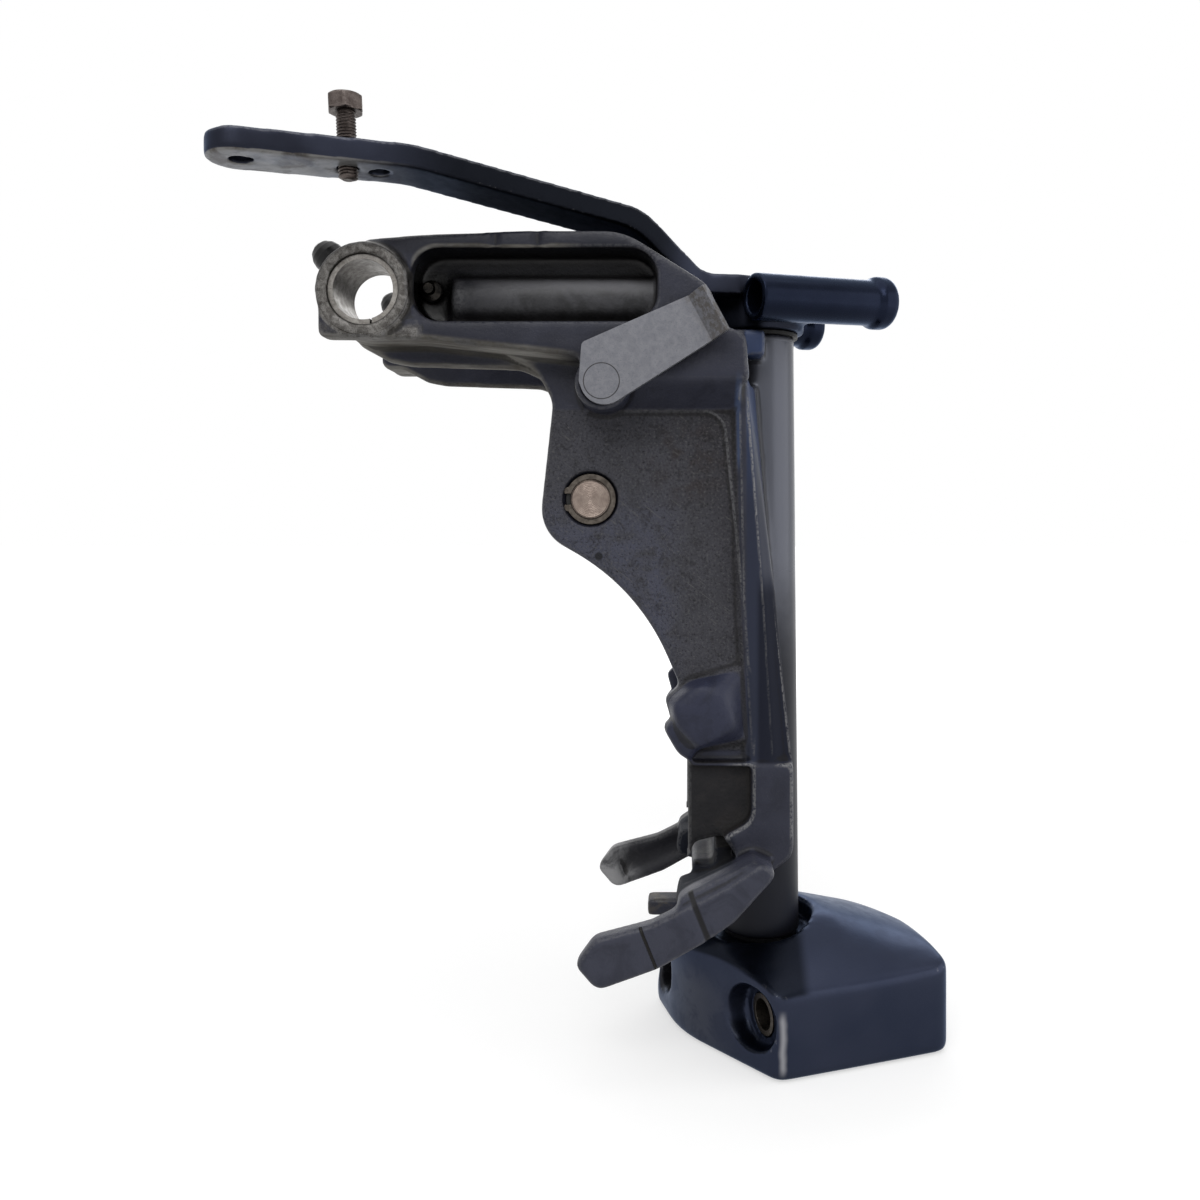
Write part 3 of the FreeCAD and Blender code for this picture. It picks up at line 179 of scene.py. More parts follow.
# Radii and lengths of marks, and where they lie
TUBE_RADII = (21, 19.5)
# Heights over which the swivel tube goes from painted shade below to a painted sheen above, partly
# rubbed paint
RUBBED_AND_SHEEN_TUBE = (-158, -98)  # z
GALLERY_RADII = (11.8, 11.0)
EAR_FACE_RADII = (20.9, 20.2)
EAR_SIDE_RADII = (21.5, 20.8)
EAR_LINES = ((14.7, 15.3, 0.2), (19.3, 19.7, 0.2))
GREASE_SPOT = (24, 1)
GREASE_RADII = (15, 9)
BOSS_RADII = (30, 20)
BOSS_CLEAN = (30, 26)
TIP_LENGTH = (26, 5)
SCRIBED_LINE = (31.2, 32.4, 0.25)
CLAW_GROOVE = (55.4, 57.8, 0.5)
RUST_SPOT = (138, -72)
RUST_RADII = (24, 8)
UPPER_CORNER = (161.7, 162.9, 0.3)
LOWER_CORNER = (161.8, 162.9, 0.3)
TURN_RADII = (9.4, 10.4, 0.3)

# Marks of the steering parts and of the lever
ARM_UNDERSIDE = {"up": (-0.45, -0.8), "z": (10, 18)}
ARM_RUBBED = (32, -8)  # x
ARM_EDGE = {"up": (0.1, 0.35), "z": (10, 20)}
ARM_KNEE = {"x": (5, 45)}
ARM_HEAD = {"x": (145, 125)}
YOKE_CORNER = (179.2, 181.6, 1.3)  # x
YOKE_CORNER_EDGE = {"y": (-44, -47)}
YOKE_CORNER_HEIGHT = {"z": (-337, -312, 3)}
YOKE_FRONT = {"x": (165, 135), "z": (-300, -318)}
YOKE_DARK = {"x": (193, 187), "up": (0.3, 0.6)}
LEVER_TAB = (46, 52)  # distance from the stop shaft
SHAFT_GAP = (7.35, 7.75, 0.15)

# Colours of the casting, in linear light
SATIN = ((0.016, 0.017, 0.027), (0.026, 0.028, 0.044))
SATIN_FLECK = (0.042, 0.044, 0.056)
SATIN_SHADE = (0.0073, 0.0083, 0.015)
BOSS_BLUE = (0.026, 0.030, 0.058)
CLAW_SLATE = (0.048, 0.051, 0.072)
# Painted shade on the far claw
CLAW_PAINTED_SHADE = (0.0073, 0.0068, 0.0068)
# Painted shade on the arm's upper part
ARM_TOP_PAINTED_SHADE = (0.004, 0.004, 0.006)
# Painted highlight: the blue glint on the rib
RIB_PAINTED_GLINT = (0.052, 0.078, 0.156)
CHEEK_TONES = ((0.040, 0.040, 0.048), (0.062, 0.062, 0.074))
# Painted shade on the cheek toward the ribs
CHEEK_PAINTED_SHADE = (0.014, 0.012, 0.014)
CHEEK_BLUE = (0.070, 0.074, 0.106)
CHEEK_SHADE = (0.012, 0.012, 0.014)
RUST = (0.023, 0.017, 0.016)
PIT_RIM = (0.105, 0.103, 0.105)
PIT = (0.0047, 0.0047, 0.0052)
SCRATCH = (0.114, 0.112, 0.109)
SPOT = (0.0031, 0.0031, 0.0031)
PANEL_TONES = ((0.0062, 0.0057, 0.0052), (0.014, 0.012, 0.010))
# The aft facet's paint, lighter toward its top as painted glare
FACET_TONES_AND_GLARE = ((0.014, 0.018, 0.036), (0.028, 0.044, 0.10))
FACET_STREAK = (0.0052, 0.0068, 0.016)
FACET_DEEP = (0.0021, 0.0026, 0.0068)
# Painted shade low on the swivel tube, and a painted sheen high on it
TUBE_SHADE_AND_SHEEN = ((0.0031, 0.0042, 0.010), (0.092, 0.097, 0.118))
TUBE_STREAK = (0.010, 0.011, 0.019)
# Painted shade inside the arms' pockets
POCKET_SHADE_TONES = ((0.0052, 0.0052, 0.0062), (0.012, 0.012, 0.014))
# Painted light on the pocket's back wall above the gallery
POCKET_BACK_PAINTED_LIGHT = (0.026, 0.026, 0.028)
# Painted shade under the pocket's roof
POCKET_ROOF_SHADE = (0.0031, 0.0031, 0.0047)
GALLERY_TONES = ((0.026, 0.026, 0.028), (0.050, 0.050, 0.055))
# Painted highlight along the gallery's top
GALLERY_PAINTED_HIGHLIGHT = (0.165, 0.165, 0.175)
THROAT_DIRT = (0.078, 0.068, 0.052)
# Painted shade in the hollow above the claws' roots
HOLLOW_PAINTED_SHADE = (0.0036, 0.0052, 0.011)
# Dirt on the undersides, lightened as painted light from the floor below
DIRT_AND_UNDERLIGHT_TONES = ((0.075, 0.068, 0.057), (0.27, 0.26, 0.238))
EAR_TONES = ((0.065, 0.061, 0.057), (0.155, 0.149, 0.142))
EAR_GRIME = (0.016, 0.013, 0.010)
EAR_LINE = (0.010, 0.0083, 0.0062)
TIP_TONES = ((0.052, 0.052, 0.055), (0.234, 0.234, 0.239))
# Rubbed crests, and the painted highlight on the cheek's rim
CREST_WEAR_AND_HIGHLIGHT = (0.125, 0.125, 0.130)
# Painted shade in corners, grooves and scribed lines
CORNER_PAINTED_SHADE = (0.0042, 0.0036, 0.0031)
GREASE = (0.0021, 0.0021, 0.0021)

# Colours of the steering parts and of bare metal
# Dusty film, lightened as painted light from the floor below
DUST_AND_UNDERLIGHT_FILM = ((0.10, 0.088, 0.074), (0.25, 0.245, 0.235))
PAINT_SHADOW = (0.002, 0.003, 0.006)
ARM_SHADOW = (0.004, 0.0045, 0.006)
# Painted shade in the corners of gloss paint
PAINT_CORNER_SHADE = (0.002, 0.003, 0.004)
# Nicks, and painted highlights on edges
NICK_AND_HIGHLIGHT = (0.30, 0.30, 0.32)
PAINT_GLANCE = (0.6, 0.68, 0.85)
# Painted shade in metal corners, and the dark joint of the stop shaft
METAL_SHADE_AND_JOINT = (0.015, 0.012, 0.010)
TAB_GRIME = (0.06, 0.05, 0.04)

# Studio levels
FLOOR_SIZE = 8
FLOOR_GAP = 0.0005
FLOOR_GREY = (0.5, 0.5, 0.5, 1)
FLOOR_NEAR = 0.55
FLOOR_FAR = 1.0
FLOOR_FADE = (0.35, 0.9)
ROOM_LIGHT = 0.38
WHITE = (1, 1, 1, 1)

# The photograph's view: its width, focal length and vanishing point in pixels, the camera's place
PHOTO_WIDTH = 1200
PHOTO_FOCAL = 990
PHOTO_CENTRE = (681, 518)
SENSOR_WIDTH = 36
CAMERA_PLACE = (0.1349, -0.478, -0.097)


class Look:
    """A procedural material with short ways to add nodes to it. Lengths are in millimetres."""

    def __init__(self, name):
        self.material = bpy.data.materials.new(name)
        self.material.use_nodes = True
        self.nodes = self.material.node_tree.nodes
        self.links = self.material.node_tree.links
        self.shader = self.nodes["Principled BSDF"]
        scale = self.nodes.new("ShaderNodeVectorMath")
        scale.operation = "SCALE"
        scale.inputs["Scale"].default_value = 1000
        self.links.new(self.nodes.new("ShaderNodeTexCoord").outputs["Object"], scale.inputs[0])
        self.place = scale.outputs[0]
        axes = self.nodes.new("ShaderNodeSeparateXYZ")
        self.links.new(self.place, axes.inputs[0])
        self.x, self.y, self.z = axes.outputs
        self.side = self.math("ABSOLUTE", self.y)
        facing = self.nodes.new("ShaderNodeSeparateXYZ")
        turn = self.nodes.new("ShaderNodeVectorTransform")
        turn.vector_type = "NORMAL"
        turn.convert_from = "WORLD"
        turn.convert_to = "OBJECT"
        geometry = self.nodes.new("ShaderNodeNewGeometry")
        self.links.new(geometry.outputs["Normal"], turn.inputs[0])
        self.links.new(turn.outputs[0], facing.inputs[0])
        self.up = facing.outputs["Z"]

    def put(self, socket, value):
        if isinstance(value, bpy.types.NodeSocket):
            self.links.new(value, socket)
        elif isinstance(value, tuple) and len(value) == 3 and socket.type == "RGBA":
            socket.default_value = (*value, 1)
        else:
            socket.default_value = value

    def math(self, kind, first, second=0.0):
        node = self.nodes.new("ShaderNodeMath")
        node.operation = kind
        self.put(node.inputs[0], first)
        self.put(node.inputs[1], second)
        return node.outputs[0]

    def chain(self, kind, values):
        result = values[0]
        for value in values[1:]:
            result = self.math(kind, result, value)
        return result

    def plus(self, *values):
        return self.chain("ADD", values)

    def times(self, *values):
        return self.chain("MULTIPLY", values)

    def most(self, *values):
        return self.chain("MAXIMUM", values)

    def less(self, share):
        """What a share leaves of 1."""
        return self.math("SUBTRACT", 1, share)

    def step(self, value, low, high, out_low=0.0, out_high=1.0):
        """A smooth step of value from low to high."""
        node = self.nodes.new("ShaderNodeMapRange")
        node.interpolation_type = "SMOOTHSTEP"
        for name, number in (("Value", value), ("From Min", low), ("From Max", high),
                             ("To Min", out_low), ("To Max", out_high)):
            self.put(node.inputs[name], number)
        return node.outputs[0]

    def inside(self, value, low, high, soft=0.6):
        return self.times(self.step(value, low - soft, low + soft),
                          self.step(value, high - soft, high + soft, 1.0, 0.0))

    def zone(self, **ranges):
        """1 inside ranges of x, y, z or side, each (low, high) or (low, high, softness)."""
        return self.times(*[self.inside(getattr(self, axis), *span) for axis, span in ranges.items()])

    def past(self, **edges):
        """1 past edges on x, y, z, side or up, each (where the step starts, where it is full)."""
        return self.times(*[self.step(getattr(self, axis), *edge) for axis, edge in edges.items()])

    def from_line(self, first, second):
        """Distance from a line along one axis, given two offsets from it."""
        return self.math("SQRT", self.plus(self.times(first, first), self.times(second, second)))

    def around(self, centre):
        """Distance from the line along Y through a centre (x, z)."""
        return self.from_line(self.plus(self.x, -centre[0]), self.plus(self.z, -centre[1]))

    def stretched(self, *scale, turn=0.0):
        """The place with its axes scaled, after a turn about the axis along Y."""
        node = self.nodes.new("ShaderNodeMapping")
        node.vector_type = "TEXTURE"
        node.inputs["Rotation"].default_value = (0, math.radians(turn), 0)
        node.inputs["Scale"].default_value = [1 / share for share in scale]
        self.put(node.inputs["Vector"], self.place)
        return node.outputs[0]

    def noise(self, scale, detail=4.0, rough=0.6, vector=None, warp=0.0):
        node = self.nodes.new("ShaderNodeTexNoise")
        self.put(node.inputs["Vector"], vector or self.place)
        node.inputs["Scale"].default_value = scale
        node.inputs["Detail"].default_value = detail
        node.inputs["Roughness"].default_value = rough
        node.inputs["Distortion"].default_value = warp
        return node.outputs["Fac"]

    def cells(self, scale):
        """Distance from the nearest of scattered points."""
        node = self.nodes.new("ShaderNodeTexVoronoi")
        self.put(node.inputs["Vector"], self.place)
        node.inputs["Scale"].default_value = scale
        return node.outputs["Distance"]

    def given(self, name):
        """A value stored with the points of a cast copy."""
        node = self.nodes.new("ShaderNodeAttribute")
        node.attribute_name = name
        return node.outputs["Fac"]

    def mix(self, share, first, second):
        """A colour between two."""
        node = self.nodes.new("ShaderNodeMix")
        node.data_type = "RGBA"
        self.put(node.inputs["Factor"], share)
        self.put(node.inputs["A"], first)
        self.put(node.inputs["B"], second)
        return node.outputs["Result"]

    def blend(self, share, first, second):
        """A number between two."""
        node = self.nodes.new("ShaderNodeMix")
        self.put(node.inputs[0], share)
        self.put(node.inputs[2], first)
        self.put(node.inputs[3], second)
        return node.outputs[0]

    def layers(self, colour, *coats):
        """A colour under coats, each (share, colour)."""
        for share, tint in coats:
            colour = self.mix(share, colour, tint)
        return colour

    def levels(self, number, *coats):
        """A number under others, each (share, number)."""
        for share, other in coats:
            number = self.blend(share, number, other)
        return number

    def shelter(self, reach):
        """1 deep in corners and hollows, where painted shade goes."""
        node = self.nodes.new("ShaderNodeAmbientOcclusion")
        node.samples = 6
        node.inputs["Distance"].default_value = reach / 1000
        return self.step(node.outputs["AO"], 0.2, 0.85, 1.0, 0.0)

    def bumpy(self, height, depth, round_edges=0.0):
        bump = self.nodes.new("ShaderNodeBump")
        bump.inputs["Distance"].default_value = depth / 1000
        self.put(bump.inputs["Height"], height)
        if round_edges:
            bevel = self.nodes.new("ShaderNodeBevel")
            bevel.samples = 6
            bevel.inputs["Radius"].default_value = round_edges / 1000
            self.links.new(bevel.outputs[0], bump.inputs["Normal"])
        self.put(self.shader.inputs["Normal"], bump.outputs[0])

    def finish(self, colour, rough, metal=0.0, coat=0.0, coat_rough=0.1, glance=(1, 1, 1)):
        """glance tints what the surface mirrors at a low angle."""
        self.put(self.shader.inputs["Base Color"], colour)
        self.put(self.shader.inputs["Roughness"], rough)
        self.put(self.shader.inputs["Metallic"], metal)
        self.put(self.shader.inputs["Coat Weight"], coat)
        self.put(self.shader.inputs["Coat Roughness"], coat_rough)
        self.put(self.shader.inputs["Specular IOR Level"], 0.2)
        self.put(self.shader.inputs["Specular Tint"], glance)
        return self.material


# Cast surfaces: copies of the CAD solids with the soft edges of a casting


def rows_of(items, name, width, kind=np.float32):
    """A value of all points or edges, in one row each."""
    flat = np.empty(len(items) * width, kind)
    items.foreach_get(name, flat)
    return flat.reshape(-1, width)


def points_of(mesh):
    """The points of a mesh in millimetres."""
    return rows_of(mesh.vertices, "co", 3).astype(float) * 1000


def added(name, mesh):
    """A new object in the scene."""
    thing = bpy.data.objects.new(name, mesh)
    bpy.context.scene.collection.objects.link(thing)
    return thing


def modified(thing):
    """The mesh of an object after its modifiers."""
    return bpy.data.meshes.new_from_object(thing.evaluated_get(bpy.context.evaluated_depsgraph_get()))


def gridded(node, voxel):
    """The mesh of a CAD solid as an even grid."""
    thing = added(node + "_grid", frame["nodes"][node].data.copy())
    remesh = thing.modifiers.new("grid", "REMESH")
    remesh.mode = "VOXEL"
    remesh.voxel_size = voxel / 1000
    mesh = modified(thing)
    bpy.data.objects.remove(thing)
    return mesh


def smoothed(spots, edges, share, passes):
    """Points drawn toward the middle of their neighbours, each by its share."""
    first, second = edges.T
    count = len(spots)
    degree = np.bincount(edges.ravel(), minlength=count)
    spots = spots.copy()
    for _ in range(passes):
        around = np.empty_like(spots)
        for axis in range(3):
            around[:, axis] = (np.bincount(first, spots[second, axis], count)
                               + np.bincount(second, spots[first, axis], count)) / degree
        spots += share[:, None] * (around - spots)
    return spots


def cast_copy(node, body, voxel, passes, calm, budget, form=None):
    """A softened copy of a CAD solid, finely gridded, smoothed and thinned again.

    calm gives each point's share of the smoothing, so that machined faces keep their edges. The
    points also store how far they moved in (worn) or out (hollow). form may move them first.
    """
    mesh = gridded(node, voxel)
    start = points_of(mesh)
    outward = rows_of(mesh.vertex_normals, "vector", 3)
    share = calm(start)
    if form:
        start = form(start)
    spots = smoothed(start, rows_of(mesh.edges, "vertices", 2, np.int32), share, passes)
    solid = points_of(frame["nodes"][node].data)
    spots = np.clip(spots, solid.min(0) + BOX_INSET, solid.max(0) - BOX_INSET)
    mesh.vertices.foreach_set("co", (spots / 1000).astype(np.float32).ravel())
    moved = ((spots - start) * outward).sum(1)
    for name, values in (("worn", -moved), ("hollow", moved)):
        layer = mesh.attributes.new(name, "FLOAT", "POINT")
        layer.data.foreach_set("value", np.clip(values / WEAR_DEPTH, 0, 1).astype(np.float32))
    piece = added(node + "_cast", mesh)
    thin = piece.modifiers.new("thin", "DECIMATE")
    thin.ratio = min(1.0, budget / (2 * len(mesh.polygons)))
    piece.data = modified(piece)
    piece.modifiers.clear()
    piece.data.shade_smooth()
    print(node, len(spots), "grid points,", len(piece.data.polygons), "faces kept")
    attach(piece, body)
    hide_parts(node)
    return piece


def ramp(depth, width=1.0):
    """0 at a depth of 0, 1 from a width on."""
    return np.clip(depth / width, 0, 1)


def near(spots, axes, centre, radius, soft=2.0):
    """0 within a radius of a line, 1 outside."""
    away = np.hypot(spots[:, axes[0]] - centre[0], spots[:, axes[1]] - centre[1])
    return ramp(away - radius, soft)


def bracket_calm(spots):
    """Machined faces of the bracket: ears, pin seats, stop bosses and the ends of the swivel tube."""
    side = np.abs(spots[:, 1])
    height = spots[:, 2]
    ear = np.maximum(near(spots, LINE_Y, (0, 0), EAR_SEAT[0]), ramp(EAR_SEAT[1] - side, 2))
    pin = near(spots, LINE_Y, TILT_PIN, PIN_SEAT)
    stop = np.maximum(near(spots, LINE_Y, STOP_AXIS, STOP_SEAT[0]), ramp(STOP_SEAT[1] - side, 2))
    past_end = np.minimum(TUBE_ENDS[0] - height, height - TUBE_ENDS[1])
    tube_end = np.maximum(near(spots, LINE_Z, (SWIVEL_X, 0), TUBE_SEAT), ramp(past_end, 2))
    half_length, pad_side, pad_z = RIM_PAD
    pad = np.maximum.reduce([ramp(np.abs(spots[:, 0] - RIM_PAD_X) - half_length),
                             ramp(pad_z - height), ramp(pad_side - side)])
    boss = ramp(near(spots, LINE_Y, BOSS, BOSS_REACH[0], 6) + ramp(BOSS_REACH[1] - side, 3))
    radius, middle, half_width = GALLERY_REACH
    gallery_end = ramp(near(spots, LINE_Y, GALLERY_END, radius, 4)
                       + ramp(np.abs(side - middle) - half_width))
    machined = 0.12 + 0.88 * np.minimum.reduce([ear, pin, stop, tube_end, 0.25 + 0.75 * pad])
    return 0.85 - (0.85 - 0.22 * machined) * np.minimum(boss, gallery_end)


def steered(spots):
    """How far points lie along the steering arm, aft of the swivel axis, and across it."""
    aft = spots[:, 0] - SWIVEL_X
    along = aft * math.cos(STEER_ANGLE) + spots[:, 1] * math.sin(STEER_ANGLE)
    across = -aft * math.sin(STEER_ANGLE) + spots[:, 1] * math.cos(STEER_ANGLE)
    return along, across


def from_pair(across, height, centre):
    """Distance from the nearer one of two bores along the arm, at the same (side, z) either way."""
    return np.hypot(np.abs(across) - centre[0], height - centre[1])


def steering_calm(spots):
    """Bores of the steering arm, head and yoke keep their edges."""
    along, across = steered(spots)
    shaft = ramp(np.hypot(along, across) - SHAFT_SEAT, 2)
    tubes = ramp(from_pair(across, spots[:, 2], UPPER_MOUNT) - UPPER_SEAT, 2)
    sleeves = ramp(from_pair(across, spots[:, 2], LOWER_MOUNT) - LOWER_SEAT, 2)
    holes = [np.hypot(along - place, across) - radius for place, radius in ARM_HOLES]
    return 0.11 + 0.44 * np.minimum.reduce([shaft, tubes, sleeves, ramp(np.minimum(*holes), 2)])


def tube_calm(spots):
    return np.full(len(spots), 0.4)


def flatter_crown(spots):
    """The yoke's port rim and aft crown, lowered to the straight lines of the photograph."""
    along, across = steered(spots)
    (start, length), (inner, width) = PORT_RIM
    rim = np.sin(math.pi * ramp(along - start, length)) * ramp(inner - across, width)
    (start, length), (outer, width) = AFT_CROWN
    aft_crown = np.sin(math.pi * ramp(along - start, length)) * ramp(across - outer, width)
    rise = ramp(spots[:, 2] - YOKE_FOOT, CROWN_RISE)
    clear = ramp(from_pair(across, spots[:, 2], LOWER_MOUNT) - SLEEVE_CLEARANCE, 6)
    lowered = spots.copy()
    lowered[:, 2] -= clear * rise * (PORT_RIM_SINK * rim + AFT_CROWN_SINK * aft_crown)
    return lowered


def short_toe(spots):
    """The thin toe at the block's lower front, finer than the grid, ends where it still has a wall."""
    side = np.abs(spots[:, 1])
    toe = ((spots[:, 0] < TOE_AFT) & (side > TOE_SIDES[0]) & (side < TOE_SIDES[1])
           & (spots[:, 2] > TOE_HEIGHTS[0]))
    trimmed = spots.copy()
    trimmed[toe, 2] = np.maximum(trimmed[toe, 2], TOE_HEIGHTS[1])
    return trimmed


def dress(piece, material):
    piece.data.materials.clear()
    piece.data.materials.append(material)


# The look of the casting


class CastingLook(Look):
    """The bracket: satin dark paint, rough dull cheeks, bare worn ears and claw tips, and dirt below
    that also carries painted light from the floor.
    """

    def __init__(self):
        super().__init__("bracket_casting")
        self.blotch = self.noise(0.07, 5, 0.65, warp=0.6)
        self.coarse = self.noise(0.85, 4, 0.7)
        self.haze = self.noise(0.06)
        self.streak = self.noise(0.09, 3, 0.55, vector=self.stretched(1, 1, 0.12))
        self.broken = self.step(self.noise(0.8, 3, 0.7), 0.36, 0.56)
        self.find_block()
        self.find_arms()
        self.find_ears()
        self.find_claws()

    def patches(self, *limits):
        return self.step(self.blotch, *limits)

    def find_block(self):
        """Shares of the cheeks, the panel below them, the aft facet and the swivel tube, with the
        tube's upper part that takes a painted sheen and some rubbed paint.
        """
        self.cheek = self.times(self.zone(**CHEEK), self.past(**CHEEK_EDGE))
        self.panel = self.zone(**PANEL)
        self.facet = self.past(**FACET)
        self.deep_facet = self.past(**DEEP_FACET)
        from_axis = self.from_line(self.plus(self.x, -SWIVEL_X), self.y)
        self.tube = self.times(self.step(from_axis, *TUBE_RADII), self.past(**TUBE_TOP))
        ragged = self.plus(self.z, self.times(self.noise(0.05, 3), 24))
        self.tube_wear_and_sheen = self.step(ragged, *RUBBED_AND_SHEEN_TUBE)

    def find_arms(self):
        """Shares of the pockets, the gallery in them and the dirty undersides, which also carry
        painted light from below.
        """
        self.pocket = self.times(self.zone(**POCKET), self.past(**POCKET_EDGE))
        from_gallery = self.from_line(self.plus(self.side, -GALLERY_AXIS[0]),
                                      self.plus(self.z, -GALLERY_AXIS[1]))
        self.gallery = self.times(self.pocket, self.step(from_gallery, *GALLERY_RADII),
                                  self.step(self.x, 36, 62, 0.1, 1.0))
        self.dirty_and_underlit = self.times(self.past(**UNDERSIDE), self.less(self.pocket),
                                self.step(self.haze, 0.3, 0.5, 0.55, 0.95))

    def find_ears(self):
        """Shares of the ears' bare faces and of the grease at their nipples."""
        self.from_ear = self.from_line(self.x, self.z)
        self.ear_ring = self.times(self.step(self.from_ear, *EAR_FACE_RADII), self.past(**EAR_FACE))
        ear_side = self.times(self.step(self.from_ear, *EAR_SIDE_RADII), self.past(**EAR_SIDE), 0.85)
        low_ear = self.times(self.past(**EAR_LOWER),
                             self.step(self.noise(0.12), 0.4, 0.55, 0.35, 0.9))
        self.bare_ear = self.most(self.ear_ring, ear_side, low_ear)
        self.grease = self.times(self.step(self.around(GREASE_SPOT), *GREASE_RADII),
                                 self.zone(**GREASE_SIDE))

    def find_claws(self):
        """Shares of the claws, their bare tips and lines, and the hollow above their roots, which
        takes painted shade.
        """
        along = self.plus(self.times(self.plus(self.x, -CLAW_TIP[0]), math.cos(CLAW_SLOPE)),
                          self.times(self.plus(self.z, -CLAW_TIP[1]), math.sin(CLAW_SLOPE)))
        self.claw = self.past(**CLAW)
        self.bare_tip = self.times(self.past(**FAR_TIP), self.step(along, *TIP_LENGTH))
        self.throat = self.past(**THROAT)
        self.hollow_root_shade = self.times(self.past(**HOLLOW_OUTER), self.past(**HOLLOW_INNER),
                                      self.zone(**HOLLOW_WIDTH), self.less(self.panel))
        self.scribed = self.times(self.claw, self.past(**SCRIBED_SIDE),
                                  self.inside(along, *SCRIBED_LINE))
        self.groove = self.times(self.claw, self.past(**GROOVE_SIDE),
                                 self.inside(along, *CLAW_GROOVE), 0.9)

    def satin_paint(self):
        """Slate paint, bluer on the boss, with a painted blue glint on the rib and painted shade on
        the arm's top and on the far claw.
        """
        base = self.mix(self.step(self.noise(0.016, 3), 0.35, 0.65), *SATIN)
        painted_glint = self.times(self.zone(**PAINTED_GLINT), self.past(**PAINTED_GLINT_SIDE), 0.7)
        return self.layers(
            base,
            (self.step(self.noise(1.3, 4, 0.7), 0.52, 0.75, 0, 0.5), SATIN_FLECK),
            (self.step(self.around(BOSS), *BOSS_RADII, 0, 0.6), BOSS_BLUE),
            (self.times(self.claw, 0.75), CLAW_SLATE),
            (self.patches(0.55, 0.36, 0, 0.35), SATIN_SHADE),
            (self.times(self.past(**ARM_UPPER), 0.5), ARM_TOP_PAINTED_SHADE),
            (self.times(self.claw, self.past(**FAR_CLAW), 0.75), CLAW_PAINTED_SHADE),
            (painted_glint, RIB_PAINTED_GLINT))

    def cheek_paint(self):
        """Dull rough paint with painted shade toward the ribs, blue at the low front, pitted and
        scratched.
        """
        shaded_to_ribs = self.step(self.plus(self.x, self.times(self.z, 0.25)), 110, 135)
        low_front = self.times(self.past(**LOW_FRONT), self.patches(0.3, 0.6))
        rust = self.times(self.step(self.around(RUST_SPOT), *RUST_RADII),
                          self.step(self.noise(0.1), 0.4, 0.6))
        strokes = self.noise(0.9, 2, 0.5, vector=self.stretched(1, 1, 0.05, turn=-52), warp=0.4)
        scratch = self.times(self.step(strokes, 0.64, 0.68), self.step(self.noise(0.05, 3), 0.5, 0.6))
        return self.layers(
            self.mix(self.patches(0.3, 0.7), *CHEEK_TONES),
            (self.times(shaded_to_ribs, 0.4), CHEEK_PAINTED_SHADE),
            (self.times(low_front, 0.8), CHEEK_BLUE),
            (self.step(self.noise(0.22, 5, 0.7, warp=0.8), 0.48, 0.34, 0, 0.55), CHEEK_SHADE),
            (self.times(rust, 0.7), RUST),
            (self.step(self.coarse, 0.52, 0.68, 0, 0.7), PIT_RIM),
            (self.step(self.coarse, 0.46, 0.34, 0, 0.8), PIT),
            (self.times(scratch, 0.5), SCRATCH),
            (self.times(self.step(self.cells(0.045), 0.1, 0.06), 0.85), SPOT))

    def facet_paint(self):
        # Lighter blue toward the facet's top as painted glare, streaked, darker deep in its turn
        return self.layers(
            self.mix(self.past(**HIGH_FACET), *FACET_TONES_AND_GLARE),
            (self.step(self.streak, 0.5, 0.64, 0, 0.5), FACET_STREAK),
            (self.times(self.deep_facet, 0.7), FACET_DEEP))

    def tube_paint(self):
        # Painted shade low on the tube and a painted sheen high on it, with streaks
        streaks = self.times(self.step(self.streak, 0.6, 0.7), 0.08)
        return self.mix(streaks, self.mix(self.tube_wear_and_sheen, *TUBE_SHADE_AND_SHEEN), TUBE_STREAK)

    def gallery_paint(self):
        # A painted highlight along the gallery's top, over mottled tones
        highlight = self.times(self.zone(**GALLERY_TOP), self.step(self.x, 40, 100, 0.35, 1.0), 0.8)
        return self.mix(highlight, self.mix(self.patches(0.4, 0.6), *GALLERY_TONES), GALLERY_PAINTED_HIGHLIGHT)

    def paint(self):
        """The paint of the whole bracket, with the dirt in the claws' throat, painted shade in the
        pockets and in the hollow above the claws' roots, and painted light on the pocket's back wall
        and gallery.
        """
        # Painted light as a band on the pocket's back wall
        pocket_back_light = self.times(self.pocket, self.zone(**POCKET_BAND), self.past(**POCKET_AFT), 0.8)
        return self.layers(
            self.satin_paint(),
            (self.cheek, self.cheek_paint()),
            (self.times(self.panel, 0.85), self.mix(self.patches(0.4, 0.65), *PANEL_TONES)),
            (self.facet, self.facet_paint()),
            (self.tube, self.tube_paint()),
            (self.times(self.pocket, 0.8), self.mix(self.patches(0.4, 0.6), *POCKET_SHADE_TONES)),
            (pocket_back_light, POCKET_BACK_PAINTED_LIGHT),
            (self.times(self.pocket, self.past(**POCKET_ROOF)), POCKET_ROOF_SHADE),
            (self.gallery, self.gallery_paint()),
            (self.times(self.throat, self.patches(0.42, 0.6), 0.8), THROAT_DIRT),
            (self.hollow_root_shade, HOLLOW_PAINTED_SHADE))

    def ear_metal(self):
        """Mottled bare metal with two dark turned lines round the bush."""
        base = self.mix(self.step(self.noise(0.25, 5, 0.7, warp=0.5), 0.38, 0.62), *EAR_TONES)
        lines = self.most(*[self.inside(self.from_ear, *line) for line in EAR_LINES])
        return self.layers(
            base,
            (self.step(self.noise(2.6, 3), 0.47, 0.34, 0, 0.85), EAR_GRIME),
            (self.times(lines, self.ear_ring, self.patches(0.3, 0.5), 0.85), EAR_LINE))

